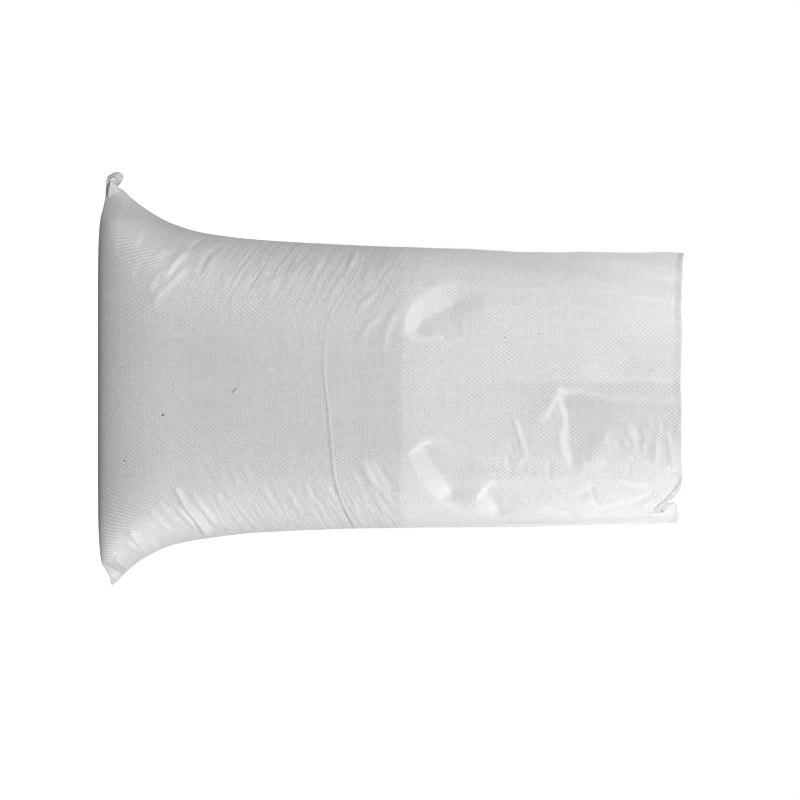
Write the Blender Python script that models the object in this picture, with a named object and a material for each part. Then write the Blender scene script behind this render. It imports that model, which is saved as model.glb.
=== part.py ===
"""Open-mouthed woven sack of cement, standing on its sewn base.

Metres, +Z up. The bag stands on the floor plane z = 0 with its front towards -Y. The two bottom
corners of the sack, its ears, point along +X and -X. The origin is on the floor, at the middle of
the bag's outer box.
"""
import math

import bmesh
import bpy
from mathutils import Matrix

# Whole bag
TUBE_GIRTH = 0.900
FRONT_RIM_DIP = 0.019
SIDE_HEIGHT = 0.574
BODY_CENTRE_X = 0.008

# Width of the body, from the middle out to its side
SHOULDER_HEIGHT = 0.096
SHOULDER_HALF = 0.1525
LEVEL_HALF = 0.1405
RIM_HALF = 0.1350

# Ears
EAR_REACH_X = 0.2065
RIGHT_EAR_CURVE = 1.85
LEFT_EAR_CURVE = 1.75
EAR_SEALED_LENGTH = 0.022

# Base
BASE_HALF_DEPTH = 0.104
CORNER_HEIGHT = 0.070
BASE_SQUARENESS = 8.0
SQUARENESS_FADE = 0.085
POINT_FADE = 0.020

# Soft forms of the empty part: across, up, half width, half height, outward
MOUTH_HOLLOW = (0.000, 0.545, 0.027, 0.110, -0.0050)
FRONT_FORMS = (
    (-0.080, 0.325, 0.032, 0.040, 0.0036),
    (0.088, 0.315, 0.040, 0.026, 0.0026),
    MOUTH_HOLLOW,
)
BACK_FORMS = (MOUTH_HOLLOW,)
FORM_START = 0.020

# Fabric, powder and thread
WALL = 0.0010
HEM_THICKNESS = 0.0030
FILL_LEVEL = 0.293
CLEARANCE = 0.0003
POWDER_SIDE_CLEARANCE = 0.0018
SEAM_Y = 0.0080
SEAM_HALF_LENGTH = 0.180
THREAD_RADIUS = 0.0006
GROOVE_WIDTH = 0.0018
GROOVE_DEPTH = 0.0017

# Fineness of the solids
POINTS_ROUND = 48
CORNER_STEPS = 8
FLARE_STEPS = 3
BODY_STEPS = 4
EMPTY_STEPS = 8


def clear_scene():
    for item in list(bpy.data.objects):
        bpy.data.objects.remove(item, do_unlink=True)


def make_material(name, colour, roughness, metallic=0.0):
    material = bpy.data.materials.new(name)
    material.use_nodes = True
    shader = material.node_tree.nodes["Principled BSDF"]
    shader.inputs["Base Color"].default_value = (*colour, 1.0)
    shader.inputs["Roughness"].default_value = roughness
    shader.inputs["Metallic"].default_value = metallic
    return material


def smooth_step(start, end, value):
    part = min(max((value - start) / (end - start), 0.0), 1.0)
    return part * part * (3.0 - 2.0 * part)


def ellipse_depth(half_width):
    """Half depth of an ellipse of this half width whose girth is the tube's."""
    low, high = 0.05, 0.25
    for _ in range(40):
        middle = (low + high) / 2
        total = half_width + middle
        girth = math.pi * (3 * total - math.sqrt((3 * half_width + middle) * (half_width + 3 * middle)))
        if girth < TUBE_GIRTH:
            low = middle
        else:
            high = middle
    return low


def body_half_width(z):
    """Half width of the tube above the ears, taken straight down to the floor below them."""
    if z > FILL_LEVEL:
        share = (z - FILL_LEVEL) / (SIDE_HEIGHT - FILL_LEVEL)
        return LEVEL_HALF + (RIM_HALF - LEVEL_HALF) * share
    share = max(z - SHOULDER_HEIGHT, 0.0) / (FILL_LEVEL - SHOULDER_HEIGHT)
    return SHOULDER_HALF + (LEVEL_HALF - SHOULDER_HALF) * share


def flare(z, reach, curve):
    """How far an ear stands out past the body's side at a height."""
    drop = max(SHOULDER_HEIGHT - z, 0.0) / SHOULDER_HEIGHT
    return (reach - SHOULDER_HALF) * drop ** curve


def half_depth(z, inset, floor_z):
    """Half depth at a height: the turned-under base edge, then the full body."""
    full = ellipse_depth(body_half_width(max(z, SHOULDER_HEIGHT))) - inset
    if z >= CORNER_HEIGHT:
        return full
    drop = (CORNER_HEIGHT - z) / (CORNER_HEIGHT - floor_z)
    edge = BASE_HALF_DEPTH - inset
    return edge + (full - edge) * math.sqrt(max(1.0 - drop * drop, 0.0))


def section(z, inset, floor_z):
    """One level loop of the bag, square with pointed ears at the floor and elliptic above them."""
    right_reach = EAR_REACH_X - BODY_CENTRE_X
    left_reach = EAR_REACH_X + BODY_CENTRE_X
    sealed = EAR_SEALED_LENGTH * (1.0 - smooth_step(0.0, SHOULDER_HEIGHT, z)) if inset else 0.0
    base = body_half_width(z) - inset - sealed
    right = base + flare(z, right_reach, RIGHT_EAR_CURVE)
    left = base + flare(z, left_reach, LEFT_EAR_CURVE)
    depth = half_depth(z, inset, floor_z)
    squareness = 2.0 + (BASE_SQUARENESS - 2.0) * math.exp(-(z / SQUARENESS_FADE) ** 1.5)
    power = 0.5 + 0.5 * math.exp(-z / POINT_FADE)
    points = []
    for index in range(POINTS_ROUND):
        angle = 2.0 * math.pi * index / POINTS_ROUND
        along = math.cos(angle)
        outward = max(1.0 - abs(along) ** squareness, 0.0) ** power
        x = BODY_CENTRE_X + along * (right if along > 0 else left)
        y = math.copysign(depth * outward, math.sin(angle)) if abs(math.sin(angle)) > 1e-9 else 0.0
        points.append((x, y, z))
    return points


def wall_heights(floor_z):
    """Heights of the loops from the base to the powder's level, closest together low down."""
    heights = []
    for step in range(CORNER_STEPS):
        angle = math.pi / 2 * step / CORNER_STEPS
        heights.append(floor_z + (CORNER_HEIGHT - floor_z) * (1.0 - math.cos(angle)))
    for step in range(FLARE_STEPS):
        heights.append(CORNER_HEIGHT + (SHOULDER_HEIGHT - CORNER_HEIGHT) * step / FLARE_STEPS)
    for step in range(BODY_STEPS + 1):
        heights.append(SHOULDER_HEIGHT + (FILL_LEVEL - SHOULDER_HEIGHT) * step / BODY_STEPS)
    return heights


def soft_form(forms, x, z):
    """How far the soft forms of the empty part stand out at a place."""
    total = 0.0
    for across, up, half_width, half_height, outward in forms:
        far = ((x - across) / half_width) ** 2 + ((z - up) / half_height) ** 2
        total += outward * math.exp(-far)
    return total * smooth_step(FILL_LEVEL, FILL_LEVEL + FORM_START, z)


def empty_loops(inset, floor_z):
    """Loops of the standing empty part, which dip towards the middle of the front and back."""
    loops = []
    for step in range(1, EMPTY_STEPS + 1):
        share = step / EMPTY_STEPS
        z = FILL_LEVEL + (SIDE_HEIGHT - FILL_LEVEL) * share
        loop = section(z, inset, floor_z)
        deepest = max(y for _, y, _ in loop)
        dipped = []
        for x, y, _ in loop:
            turned = abs(y) / deepest
            if y < 0:
                moved = y - soft_form(FRONT_FORMS, x, z) * turned
            else:
                moved = y + soft_form(BACK_FORMS, x, z) * turned
            dipped.append((x, moved, z - FRONT_RIM_DIP * share * turned))
        loops.append(dipped)
    return loops


def make_object(name, mesh_maker, material):
    mesh = bpy.data.meshes.new(name)
    shape = bmesh.new()
    mesh_maker(shape)
    bmesh.ops.recalc_face_normals(shape, faces=shape.faces)
    shape.to_mesh(mesh)
    shape.free()
    mesh.materials.append(material)
    made = bpy.data.objects.new(name, mesh)
    bpy.context.scene.collection.objects.link(made)
    return made


def loft(shape, loops):
    """Skin the loops in order and give back their rows of vertices."""
    rows = [[shape.verts.new(point) for point in loop] for loop in loops]
    for lower, upper in zip(rows, rows[1:]):
        for index in range(POINTS_ROUND):
            after = (index + 1) % POINTS_ROUND
            shape.faces.new((lower[index], lower[after], upper[after], upper[index]))
    return rows


def sack_shape(shape):
    """Outer skin up, over the rim, and the inner skin down to the hem."""
    outer = [section(z, 0.0, 0.0) for z in wall_heights(0.0)] + empty_loops(0.0, 0.0)
    inner = [section(z, WALL, HEM_THICKNESS) for z in wall_heights(HEM_THICKNESS)]
    inner += empty_loops(WALL, HEM_THICKNESS)
    rows = loft(shape, outer + inner[::-1])
    shape.faces.new(rows[0])
    shape.faces.new(rows[-1])


def fill_shape(shape):
    """The powder, just clear of the fabric, with a level top."""
    inset = WALL + POWDER_SIDE_CLEARANCE
    floor_z = HEM_THICKNESS + CLEARANCE
    rows = loft(shape, [section(z, inset, floor_z) for z in wall_heights(floor_z)])
    shape.faces.new(rows[0])
    shape.faces.new(rows[-1])


def thread_shape(shape):
    """The hem's thread, a thin rod that runs along the underside from ear to ear."""
    made = bmesh.ops.create_cone(
        shape, cap_ends=True, segments=8, radius1=THREAD_RADIUS, radius2=THREAD_RADIUS,
        depth=2 * SEAM_HALF_LENGTH)
    bmesh.ops.rotate(shape, verts=made["verts"], matrix=Matrix.Rotation(math.pi / 2, 3, "Y"))
    middle_z = GROOVE_DEPTH - CLEARANCE - THREAD_RADIUS
    bmesh.ops.translate(shape, verts=made["verts"], vec=(0.0, SEAM_Y, middle_z))


def groove_shape(shape):
    """The line that the stitches press into the hem."""
    made = bmesh.ops.create_cube(shape, size=1.0)
    length = 2 * (SEAM_HALF_LENGTH + CLEARANCE)
    bmesh.ops.scale(shape, verts=made["verts"], vec=(length, GROOVE_WIDTH, 2 * GROOVE_DEPTH))
    bmesh.ops.translate(shape, verts=made["verts"], vec=(0.0, SEAM_Y, 0.0))


def cut_groove(sack, groove):
    groove.hide_render = True
    groove.display_type = "WIRE"
    cut = sack.modifiers.new("stitch_groove", "BOOLEAN")
    cut.operation = "DIFFERENCE"
    cut.solver = "EXACT"
    cut.object = groove


def smooth_sides(made, sharp_angle):
    made.data.shade_smooth()
    made.data.set_sharp_from_angle(angle=math.radians(sharp_angle))


def build():
    clear_scene()
    fabric = make_material("white_woven_plastic", (0.80, 0.80, 0.80), 0.45)
    powder = make_material("grey_cement", (0.33, 0.33, 0.32), 0.95)
    thread = make_material("white_thread", (0.82, 0.81, 0.78), 0.60)
    sack = make_object("woven_sack", sack_shape, fabric)
    fill = make_object("cement_fill", fill_shape, powder)
    stitching = make_object("bottom_stitching", thread_shape, thread)
    groove = make_object("stitch_groove_guide", groove_shape, thread)
    cut_groove(sack, groove)
    for made in (sack, fill, stitching):
        smooth_sides(made, 50.0)


build()
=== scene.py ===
# %% [markdown]
# # An open woven sack of cement
# A sack of woven plastic tape stands on its sewn base, a little over half full of cement powder.
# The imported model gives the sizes. This lesson dresses it: fabric, folds, weave, hem, powder and thread.

# %% Load the frame
import math
import random

import bmesh
import bpy
import numpy as np
from mathutils import Matrix, Vector


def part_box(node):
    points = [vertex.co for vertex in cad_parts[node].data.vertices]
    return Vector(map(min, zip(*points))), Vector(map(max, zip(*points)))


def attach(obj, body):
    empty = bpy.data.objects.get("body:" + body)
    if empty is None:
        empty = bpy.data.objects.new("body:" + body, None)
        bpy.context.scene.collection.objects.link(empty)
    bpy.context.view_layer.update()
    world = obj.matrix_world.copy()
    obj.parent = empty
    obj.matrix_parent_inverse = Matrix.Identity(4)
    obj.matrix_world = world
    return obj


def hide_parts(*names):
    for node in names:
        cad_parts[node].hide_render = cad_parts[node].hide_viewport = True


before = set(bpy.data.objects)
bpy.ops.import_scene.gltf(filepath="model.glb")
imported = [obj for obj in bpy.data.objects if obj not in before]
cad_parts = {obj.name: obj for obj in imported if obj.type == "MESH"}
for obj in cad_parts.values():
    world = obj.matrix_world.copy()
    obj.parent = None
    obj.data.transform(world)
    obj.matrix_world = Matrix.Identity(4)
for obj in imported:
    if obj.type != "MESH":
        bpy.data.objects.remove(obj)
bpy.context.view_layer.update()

# %% [markdown]
# ## The view
# The photo was taken level with the powder's surface, from far enough that the sack shows little
# perspective, and the picture was then turned a quarter clockwise: up on the sack is right in the picture.
# A camera is turned by giving the world directions of its own axes, which form the columns of a matrix.

# %% Camera
MM = 0.001
VIEW_DISTANCE = 2.6
VIEW_HEIGHT = 0.290
VIEW_CENTRE_X = 0.021
PICTURE_WIDTH = 0.800
SENSOR_WIDTH = 36.0


def add_object(name, data):
    made = bpy.data.objects.new(name, data)
    bpy.context.scene.collection.objects.link(made)
    return made


def make_camera():
    data = bpy.data.cameras.new("picture_camera")
    data.sensor_width = SENSOR_WIDTH
    data.lens = SENSOR_WIDTH * VIEW_DISTANCE / PICTURE_WIDTH
    camera = add_object("picture_camera", data)
    right, up, back = Vector((0, 0, 1)), Vector((-1, 0, 0)), Vector((0, -1, 0))
    turn = Matrix((right, up, back)).transposed()
    place = Matrix.Translation((VIEW_CENTRE_X, -VIEW_DISTANCE, VIEW_HEIGHT))
    camera.matrix_world = place @ turn.to_4x4()
    bpy.context.scene.camera = camera
    print("camera lens", round(data.lens, 1), "mm")


make_camera()

# %% [markdown]
# ## The stage
# The sack stands on a plain pale floor in front of nothing but light. World and floor are white where the
# camera looks and dim where they light the fabric, so the white sack still reads against white. Four soft
# lamps stand to the left, in front, to the right, and behind on the right. Light from the sides brings out
# low creases, and the lamp behind lights the cloth near the sack's outline.

# %% White surroundings
WORLD_SEEN = 1.0
WORLD_LIGHT = 0.30
WHITE = (1.0, 1.0, 1.0, 1.0)


def make_world():
    world = bpy.data.worlds.new("white_surroundings")
    world.use_nodes = True
    nodes, links = world.node_tree.nodes, world.node_tree.links
    nodes.clear()
    output = nodes.new("ShaderNodeOutputWorld")
    mix = nodes.new("ShaderNodeMixShader")
    path = nodes.new("ShaderNodeLightPath")
    for index, strength in ((1, WORLD_LIGHT), (2, WORLD_SEEN)):
        light = nodes.new("ShaderNodeBackground")
        light.inputs["Color"].default_value = WHITE
        light.inputs["Strength"].default_value = strength
        links.new(light.outputs["Background"], mix.inputs[index])
    links.new(path.outputs["Is Camera Ray"], mix.inputs["Fac"])
    links.new(mix.outputs["Shader"], output.inputs["Surface"])
    bpy.context.scene.world = world
    print("world lights the sack at", WORLD_LIGHT)


make_world()

# %% Floor
FLOOR_SIZE = 12.0
FLOOR_COLOUR = (0.45, 0.45, 0.45, 1.0)


def new_material(name):
    """A material, its node tree and the shader that Blender puts in it."""
    material = bpy.data.materials.new(name)
    material.use_nodes = True
    tree = material.node_tree
    return material, tree, tree.nodes["Principled BSDF"]


def set_inputs(node, values):
    for name, value in values.items():
        node.inputs[name].default_value = value


def make_floor():
    bpy.ops.object.select_all(action="DESELECT")
    bpy.ops.mesh.primitive_plane_add(size=FLOOR_SIZE, location=(0, 0, 0))
    floor = bpy.context.object
    floor.name = "pale_floor"
    material, tree, shader = new_material("pale_floor")
    set_inputs(shader, {"Base Color": FLOOR_COLOUR, "Roughness": 0.9, "Specular IOR Level": 0.0})
    set_inputs(shader, {"Emission Color": WHITE})
    path = tree.nodes.new("ShaderNodeLightPath")
    tree.links.new(path.outputs["Is Camera Ray"], shader.inputs["Emission Strength"])
    floor.data.materials.append(material)
    print("floor", FLOOR_SIZE, "m wide")


make_floor()

# %% Lamps
LAMP_SIZE = 1.2
LAMP_TARGET = (0, 0, 0.3)
LAMPS = [
    ("left_lamp", (-2.29, -1.02, 1.75), 40),
    ("front_lamp", (0.83, -2.56, 1.39), 39),
    ("right_lamp", (2.45, -0.26, 1.64), 25),
    ("back_right_lamp", (2.54, 1.18, 1.05), 26),
]


def make_lamp(name, place, watts):
    data = bpy.data.lights.new(name, "AREA")
    data.shape = "DISK"
    data.size = LAMP_SIZE
    data.energy = watts
    lamp = add_object(name, data)
    lamp.location = place
    direction = Vector(LAMP_TARGET) - lamp.location
    lamp.rotation_euler = direction.to_track_quat("-Z", "Y").to_euler()
    print(name, watts, "W")


for lamp_values in LAMPS:
    make_lamp(*lamp_values)
bpy.context.scene.view_settings.view_transform = "Standard"

# %% [markdown]
# ## The sack's outline
# A sack is a tube of cloth, sewn flat across its bottom. Filled and stood up, the tube turns round, and the
# flat seam pulls its two ends out into ears. So the shape is a stack of level loops: pointed and lens-like at
# the floor, round above the ears. Each side's outline is a smooth curve through a few measured points.

# %% Outline curves
BODY_X = 0.008
TUBE_GIRTH = 0.900
SIDE_TOP = 0.574
RIM_DIP = 0.019
POWDER_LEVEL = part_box("cement_fill")[1].z
RIGHT_OUTLINE = [
    (0.0, 0.2085), (0.008, 0.2020), (0.024, 0.1865), (0.040, 0.1765), (0.064, 0.1660), (0.096, 0.1600),
    (0.152, 0.1535), (0.290, 0.1490), (0.440, 0.1510), (0.510, 0.1470), (0.574, 0.1435),
]
LEFT_OUTLINE = [
    (0.0, 0.1925), (0.008, 0.1910), (0.016, 0.1870), (0.024, 0.1795), (0.040, 0.1682), (0.064, 0.1550),
    (0.096, 0.1455), (0.152, 0.1390), (0.290, 0.1320), (0.440, 0.1285), (0.510, 0.1270), (0.574, 0.1255),
]


def smooth_curve(points, values):
    """Monotone cubic through the points, read at the values."""
    xs = np.array([p[0] for p in points])
    ys = np.array([p[1] for p in points])
    step = np.diff(xs)
    slope = np.diff(ys) / step
    tangent = np.empty(len(xs))
    tangent[0], tangent[-1] = slope[0], slope[-1]
    same = slope[:-1] * slope[1:] > 0
    mean = 2 * slope[:-1] * slope[1:] / np.where(same, slope[:-1] + slope[1:], 1.0)
    tangent[1:-1] = np.where(same, mean, 0.0)
    values = np.clip(values, xs[0], xs[-1])
    at = np.clip(np.searchsorted(xs, values) - 1, 0, len(step) - 1)
    t = (values - xs[at]) / step[at]
    h = step[at]
    return (ys[at] * (1 + 2 * t) * (1 - t) ** 2 + ys[at + 1] * t * t * (3 - 2 * t)
            + tangent[at] * h * t * (1 - t) ** 2 - tangent[at + 1] * h * t * t * (1 - t))


def ease(start, end, value):
    part = np.clip((value - start) / (end - start), 0.0, 1.0)
    return part * part * (3.0 - 2.0 * part)


def round_depth(half_width):
    """Half depth of an ellipse of this half width whose girth is the tube's."""
    low, high = np.full_like(half_width, 0.05), np.full_like(half_width, 0.25)
    for _ in range(30):
        middle = (low + high) / 2
        total = half_width + middle
        girth = math.pi * (3 * total - np.sqrt((3 * half_width + middle) * (half_width + 3 * middle)))
        low = np.where(girth < TUBE_GIRTH, middle, low)
        high = np.where(girth < TUBE_GIRTH, high, middle)
    return low


print("powder's level", round(POWDER_LEVEL, 4), "m")

# %% [markdown]
# ## The loops
# The cloth is a grid: columns run up the sack as its long tapes do, rows run round it as the cross tapes do.
# The front has closer columns than the back, because its folds are looked at most. The first rows lie on the
# floor and close in on the seam. Above the powder the loops are a little shallow, so that the cloth is slack.

# %% Rows and columns
FRONT_COLUMNS = 252
BACK_COLUMNS = 80
FLOOR_ROWS = 8
EDGE_ROWS, EDGE_HEIGHT, EDGE_GROWTH = 36, 0.072, 1.4
WALL_ROWS = 236
MOUTH_ROWS, MOUTH_BAND = 9, 0.012

back_angles = np.linspace(0.0, math.pi, BACK_COLUMNS, endpoint=False)
front_angles = np.linspace(math.pi, 2 * math.pi, FRONT_COLUMNS, endpoint=False)
angles = np.concatenate([back_angles, front_angles])
along = np.cos(angles)
around = np.sin(angles)
edge_heights = EDGE_HEIGHT * np.linspace(0, 1, EDGE_ROWS, endpoint=False) ** EDGE_GROWTH
wall_heights = np.linspace(EDGE_HEIGHT, SIDE_TOP - MOUTH_BAND, WALL_ROWS, endpoint=False)
mouth_heights = np.linspace(SIDE_TOP - MOUTH_BAND, SIDE_TOP, MOUTH_ROWS)
heights = np.concatenate([edge_heights, wall_heights, mouth_heights])
print(len(heights), "loops from the floor to the mouth")

# %% Grid of the cloth
SHOULDER, SHOULDER_BLEND = 0.096, 0.016
BASE_DEPTH = 0.104
BASE_SQUARENESS = 8.0
SQUARE_FADE, POINT_FADE = 0.085, 0.020
INSIDE_CAD = 0.0008
SLACK = 0.012
DIP_START = 0.05
SEAM_SHORTER = 0.012


def side_reach(z):
    """How far the right and the left side stand from the body's middle at height z."""
    height = np.array([z])
    return smooth_curve(RIGHT_OUTLINE, height)[0] - BODY_X, smooth_curve(LEFT_OUTLINE, height)[0] + BODY_X


def loop_points(z):
    """The level loop at height z, before any fold."""
    right, left = side_reach(z)
    above_ears = SHOULDER + SHOULDER_BLEND * math.log1p(math.exp((z - SHOULDER) / SHOULDER_BLEND))
    full = round_depth(np.array([sum(side_reach(above_ears)) / 2]))[0] - INSIDE_CAD
    full = full * (1 - SLACK * ease(POWDER_LEVEL, SIDE_TOP, z))
    drop = max(EDGE_HEIGHT - z, 0.0) / EDGE_HEIGHT
    depth = BASE_DEPTH + (full - BASE_DEPTH) * math.sqrt(max(1 - drop * drop, 0.0))
    squareness = 2.0 + (BASE_SQUARENESS - 2.0) * math.exp(-(z / SQUARE_FADE) ** 1.5)
    power = 0.5 + 0.5 * math.exp(-z / POINT_FADE)
    outward = np.clip(1 - np.abs(along) ** squareness, 0, 1) ** power
    x = BODY_X + along * np.where(along > 0, right, left)
    y = depth * outward * np.sign(np.round(around, 9))
    share = ease(POWDER_LEVEL - DIP_START, SIDE_TOP, z)
    return np.stack([x, y, z - RIM_DIP * share * np.abs(around)], axis=1)


def base_points():
    """Rows on the floor, from the seam out to the first loop."""
    edge = loop_points(0.0)
    reach = np.where(along > 0, edge[:, 0].max() - BODY_X, BODY_X - edge[:, 0].min())
    seam = np.stack([BODY_X + along * (reach - SEAM_SHORTER), 0 * along, 0 * along], axis=1)
    shares = np.linspace(0, 1, FLOOR_ROWS, endpoint=False)
    return [seam + (edge - seam) * share for share in shares]


cloth = np.array(base_points() + [loop_points(z) for z in heights])
row_count, column_count = cloth.shape[:2]
print("cloth grid", row_count, "rows by", column_count, "columns")

# %% [markdown]
# ## Flat lengths
# A weave has to run along the cloth and not through space, so each point keeps its place on the flat tube:
# how far round it is, and how far below the mouth, both in metres. Measured down from the mouth, a cross tape
# hangs lower in the middle of the front than at the sides, as the real one does.

# %% Places on the flat cloth
level_row = FLOOR_ROWS + int(np.argmin(np.abs(heights - POWDER_LEVEL)))
round_steps = np.linalg.norm(np.roll(cloth[level_row], -1, axis=0) - cloth[level_row], axis=1)
flat_u = np.concatenate([[0.0], np.cumsum(round_steps)])
flat_u = flat_u * TUBE_GIRTH / flat_u[-1]
steps_up = np.linalg.norm(np.diff(cloth, axis=0), axis=2)
flat_v = np.concatenate([np.cumsum(steps_up[::-1], axis=0)[::-1], np.zeros((1, column_count))])
front_middle = BACK_COLUMNS + FRONT_COLUMNS // 2
print("cloth below the mouth, front middle", round(float(flat_v[0, front_middle]), 3), "m")

# %% [markdown]
# ## The ears' ends
# The flat places are measured on straight ears. Only then are the ears' ends pressed flat, and the left one
# is bent a little forward of the seam's line.

# %% Bend the ears
EAR_TOP = 0.085
LEFT_EAR, RIGHT_EAR = (0.150, 0.190), (0.178, 0.200)
LEFT_PRESSED, RIGHT_PRESSED = 0.82, 0.75
LEFT_BEND, LEFT_BENT = 0.036, (0.150, 0.192)


def bend_ears(points):
    low = 1 - ease(0.0, EAR_TOP, points[..., 2])
    left_end = ease(*LEFT_EAR, -points[..., 0]) * low
    right_end = ease(*RIGHT_EAR, points[..., 0]) * low
    bent = points.copy()
    bent[..., 1] *= (1 - LEFT_PRESSED * left_end) * (1 - RIGHT_PRESSED * right_end)
    bent[..., 1] -= LEFT_BEND * ease(*LEFT_BENT, -points[..., 0]) * low
    return bent


cloth = bend_ears(cloth)
print("left ear bent", LEFT_BEND, "m forwards")

# %% [markdown]
# ## Folds
# Woven plastic creases in straight, crisp lines. Each fold is a short path on the front or back, seen from
# straight ahead, in millimetres across and up. The cloth is pushed out along its normal by a crest that may
# be steep on one side and gentle on the other, and that fades towards the path's ends. A negative height
# presses the cloth in.

# %% Paths on the cloth


def seen_from(side, points):
    """Across and up in mm, as a camera in front (side -1) or behind (side 1) sees the points."""
    share = VIEW_DISTANCE / (VIEW_DISTANCE - side * points[..., 1])
    a = VIEW_CENTRE_X + (points[..., 0] - VIEW_CENTRE_X) * share
    b = VIEW_HEIGHT + (points[..., 2] - VIEW_HEIGHT) * share
    return np.stack([a, b], axis=-1) / MM


def rounded(points, pieces=8):
    """Catmull-Rom curve through points, or through rows of points."""
    points = np.array(points, dtype=float)
    if len(points) == 2:
        return points
    ends = np.concatenate([[2 * points[0] - points[1]], points, [2 * points[-1] - points[-2]]])
    made = []
    for index in range(1, len(ends) - 2):
        p0, p1, p2, p3 = ends[index - 1:index + 3]
        for t in np.linspace(0, 1, pieces, endpoint=False):
            made.append(0.5 * (2 * p1 + (p2 - p0) * t + (2 * p0 - 5 * p1 + 4 * p2 - p3) * t * t
                               + (3 * p1 - p0 - 3 * p2 + p3) * t ** 3))
    made.append(ends[-2])
    return np.array(made)


def path_distance(seen, path):
    """Signed distance to the path and the share of its length, for each point."""
    best = np.full(seen.shape[:-1], 1e9)
    signed = np.zeros_like(best)
    share = np.zeros_like(best)
    lengths = np.linalg.norm(np.diff(path, axis=0), axis=1)
    total, gone = lengths.sum(), 0.0
    for start, end, length in zip(path, path[1:], lengths):
        way = (end - start) / length
        offset = seen - start
        t = np.clip(offset @ way, 0, length)
        gap = offset - t[..., None] * way
        distance = np.hypot(gap[..., 0], gap[..., 1])
        side = np.sign(way[0] * offset[..., 1] - way[1] * offset[..., 0])
        closer = distance < best
        best = np.where(closer, distance, best)
        signed = np.where(closer, distance * side, signed)
        share = np.where(closer, (gone + t) / total, share)
        gone += length
    return signed, share


# %% Shape of a fold
FLAT_REACH, SOFT_REACH = 1.1, 4.5
FOOT = 0.12
SOFT_FALL = 1.4
SHORTEST_FADE = 1e-6


def fold(seen, points, height, left, right, fade, crisp, flat_sided=False):
    """Height field of one fold, in mm.

    left and right are its widths on the path's two sides, or lists of widths along it.
    """
    path = rounded(points)
    reach = (FLAT_REACH if flat_sided else SOFT_REACH) * max(np.max(left), np.max(right))
    low, high = path.min(0) - reach, path.max(0) + reach
    near = np.all((seen > low) & (seen < high), axis=-1)
    field = np.zeros(seen.shape[:-1])
    if not near.any():
        return field
    signed, share = path_distance(seen[near], path)
    widths = [np.interp(share, np.linspace(0, 1, len(side)), side) if isinstance(side, list) else side
              for side in (left, right)]
    scaled = signed / np.where(signed > 0, *widths)
    away = np.sqrt(scaled * scaled + crisp * crisp) - crisp
    if flat_sided:
        side = np.clip(1 - away, 0, 1)
        crest = (1 + FOOT) * side * side / (side + FOOT)
    else:
        crest = np.exp(-SOFT_FALL * away)
    start, end = (max(part, SHORTEST_FADE) for part in fade)
    field[near] = height * crest * (ease(0, start, share) * ease(0, end, 1 - share))
    return field


def dent(seen, centre, size, height):
    """A broad soft swelling or hollow, in mm."""
    away = (seen - np.array(centre)) / np.array(size)
    return height * np.exp(-(away * away).sum(axis=-1))


sample = np.array([[0.0, 0.0], [2.0, 0.0], [4.0, 0.0]])
sample_crest = fold(sample, [(0, -9), (0, 9)], 1.0, 5, 5, (0, 0), 0.1, flat_sided=True)
print("a crest of 1 mm, seen 0, 2 and 4 mm from its path:", sample_crest.round(2))

# %% Pushing the cloth
PUSHED_ABOVE = 0.006


def grid_normals(points):
    across = np.roll(points, -1, axis=1) - np.roll(points, 1, axis=1)
    upward = np.gradient(points, axis=0)
    normal = np.cross(across, upward)
    length = np.linalg.norm(normal, axis=2, keepdims=True)
    return normal / np.maximum(length, 1e-12)


def push(points, lift):
    """Move the points along the cloth's normal by lift mm, but not those on the floor."""
    free = ease(0.0, PUSHED_ABOVE, points[..., 2])
    return points + grid_normals(points) * (lift * free * MM)[..., None]


# %% [markdown]
# ## Broad forms
# The empty part has a few large forms: a ridge that runs up from the level and bends aside, a flat facet
# near the right side, a long hollow up to the mouth and a pocket beside it. They start as rough swellings
# here, and the cloth simulation then lets them settle into shapes that real cloth can take.

# %% Broad forms of the front and back
BROAD_RIDGES = [
    ([(-41, 300), (-55, 307), (-64, 315), (-78, 342), (-82, 380)], -4.0, 14, 24, (0.2, 0.4), 0.5),
    ([(66, 311), (91, 325), (109, 338), (131, 341)], -4.0, 20, 16, (0.15, 0.2), 0.5),
    ([(-3, 400), (-5, 480), (-1, 574)], -5.0, 40, 24, (0.35, 0.0), 0.6),
    ([(-100, 430), (-95, 500), (-88, 574)], -3.5, 14, 14, (0.4, 0.0), 0.6),
    ([(8, 455), (30, 436), (58, 412)], 3.2, 7, 7, (0.1, 0.3), 0.3),
    ([(44, 496), (70, 488), (96, 476)], 3.2, 9, 12, (0.3, 0.3), 0.3),
]
BROAD_DENTS = [
    ((62, 474), (26, 16), -5.5),
    ((-50, 470), (36, 60), 3.0),
    ((124, 455), (14, 30), 3.0),
    ((10, 340), (60, 24), -1.5),
]
SLACK_NOISE, TAUT_NOISE = 2.5, 0.3


def rough_noise(seed, shape, rounds):
    """Smooth random swellings between -1 and 1 over the grid."""
    field = np.random.default_rng(seed).normal(0, 1, shape)
    for _ in range(rounds):
        field = sum((np.roll(field, way, axis) for axis in (1, 0) for way in (1, -1)), field) / 5
    return field / np.abs(field).max()


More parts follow.
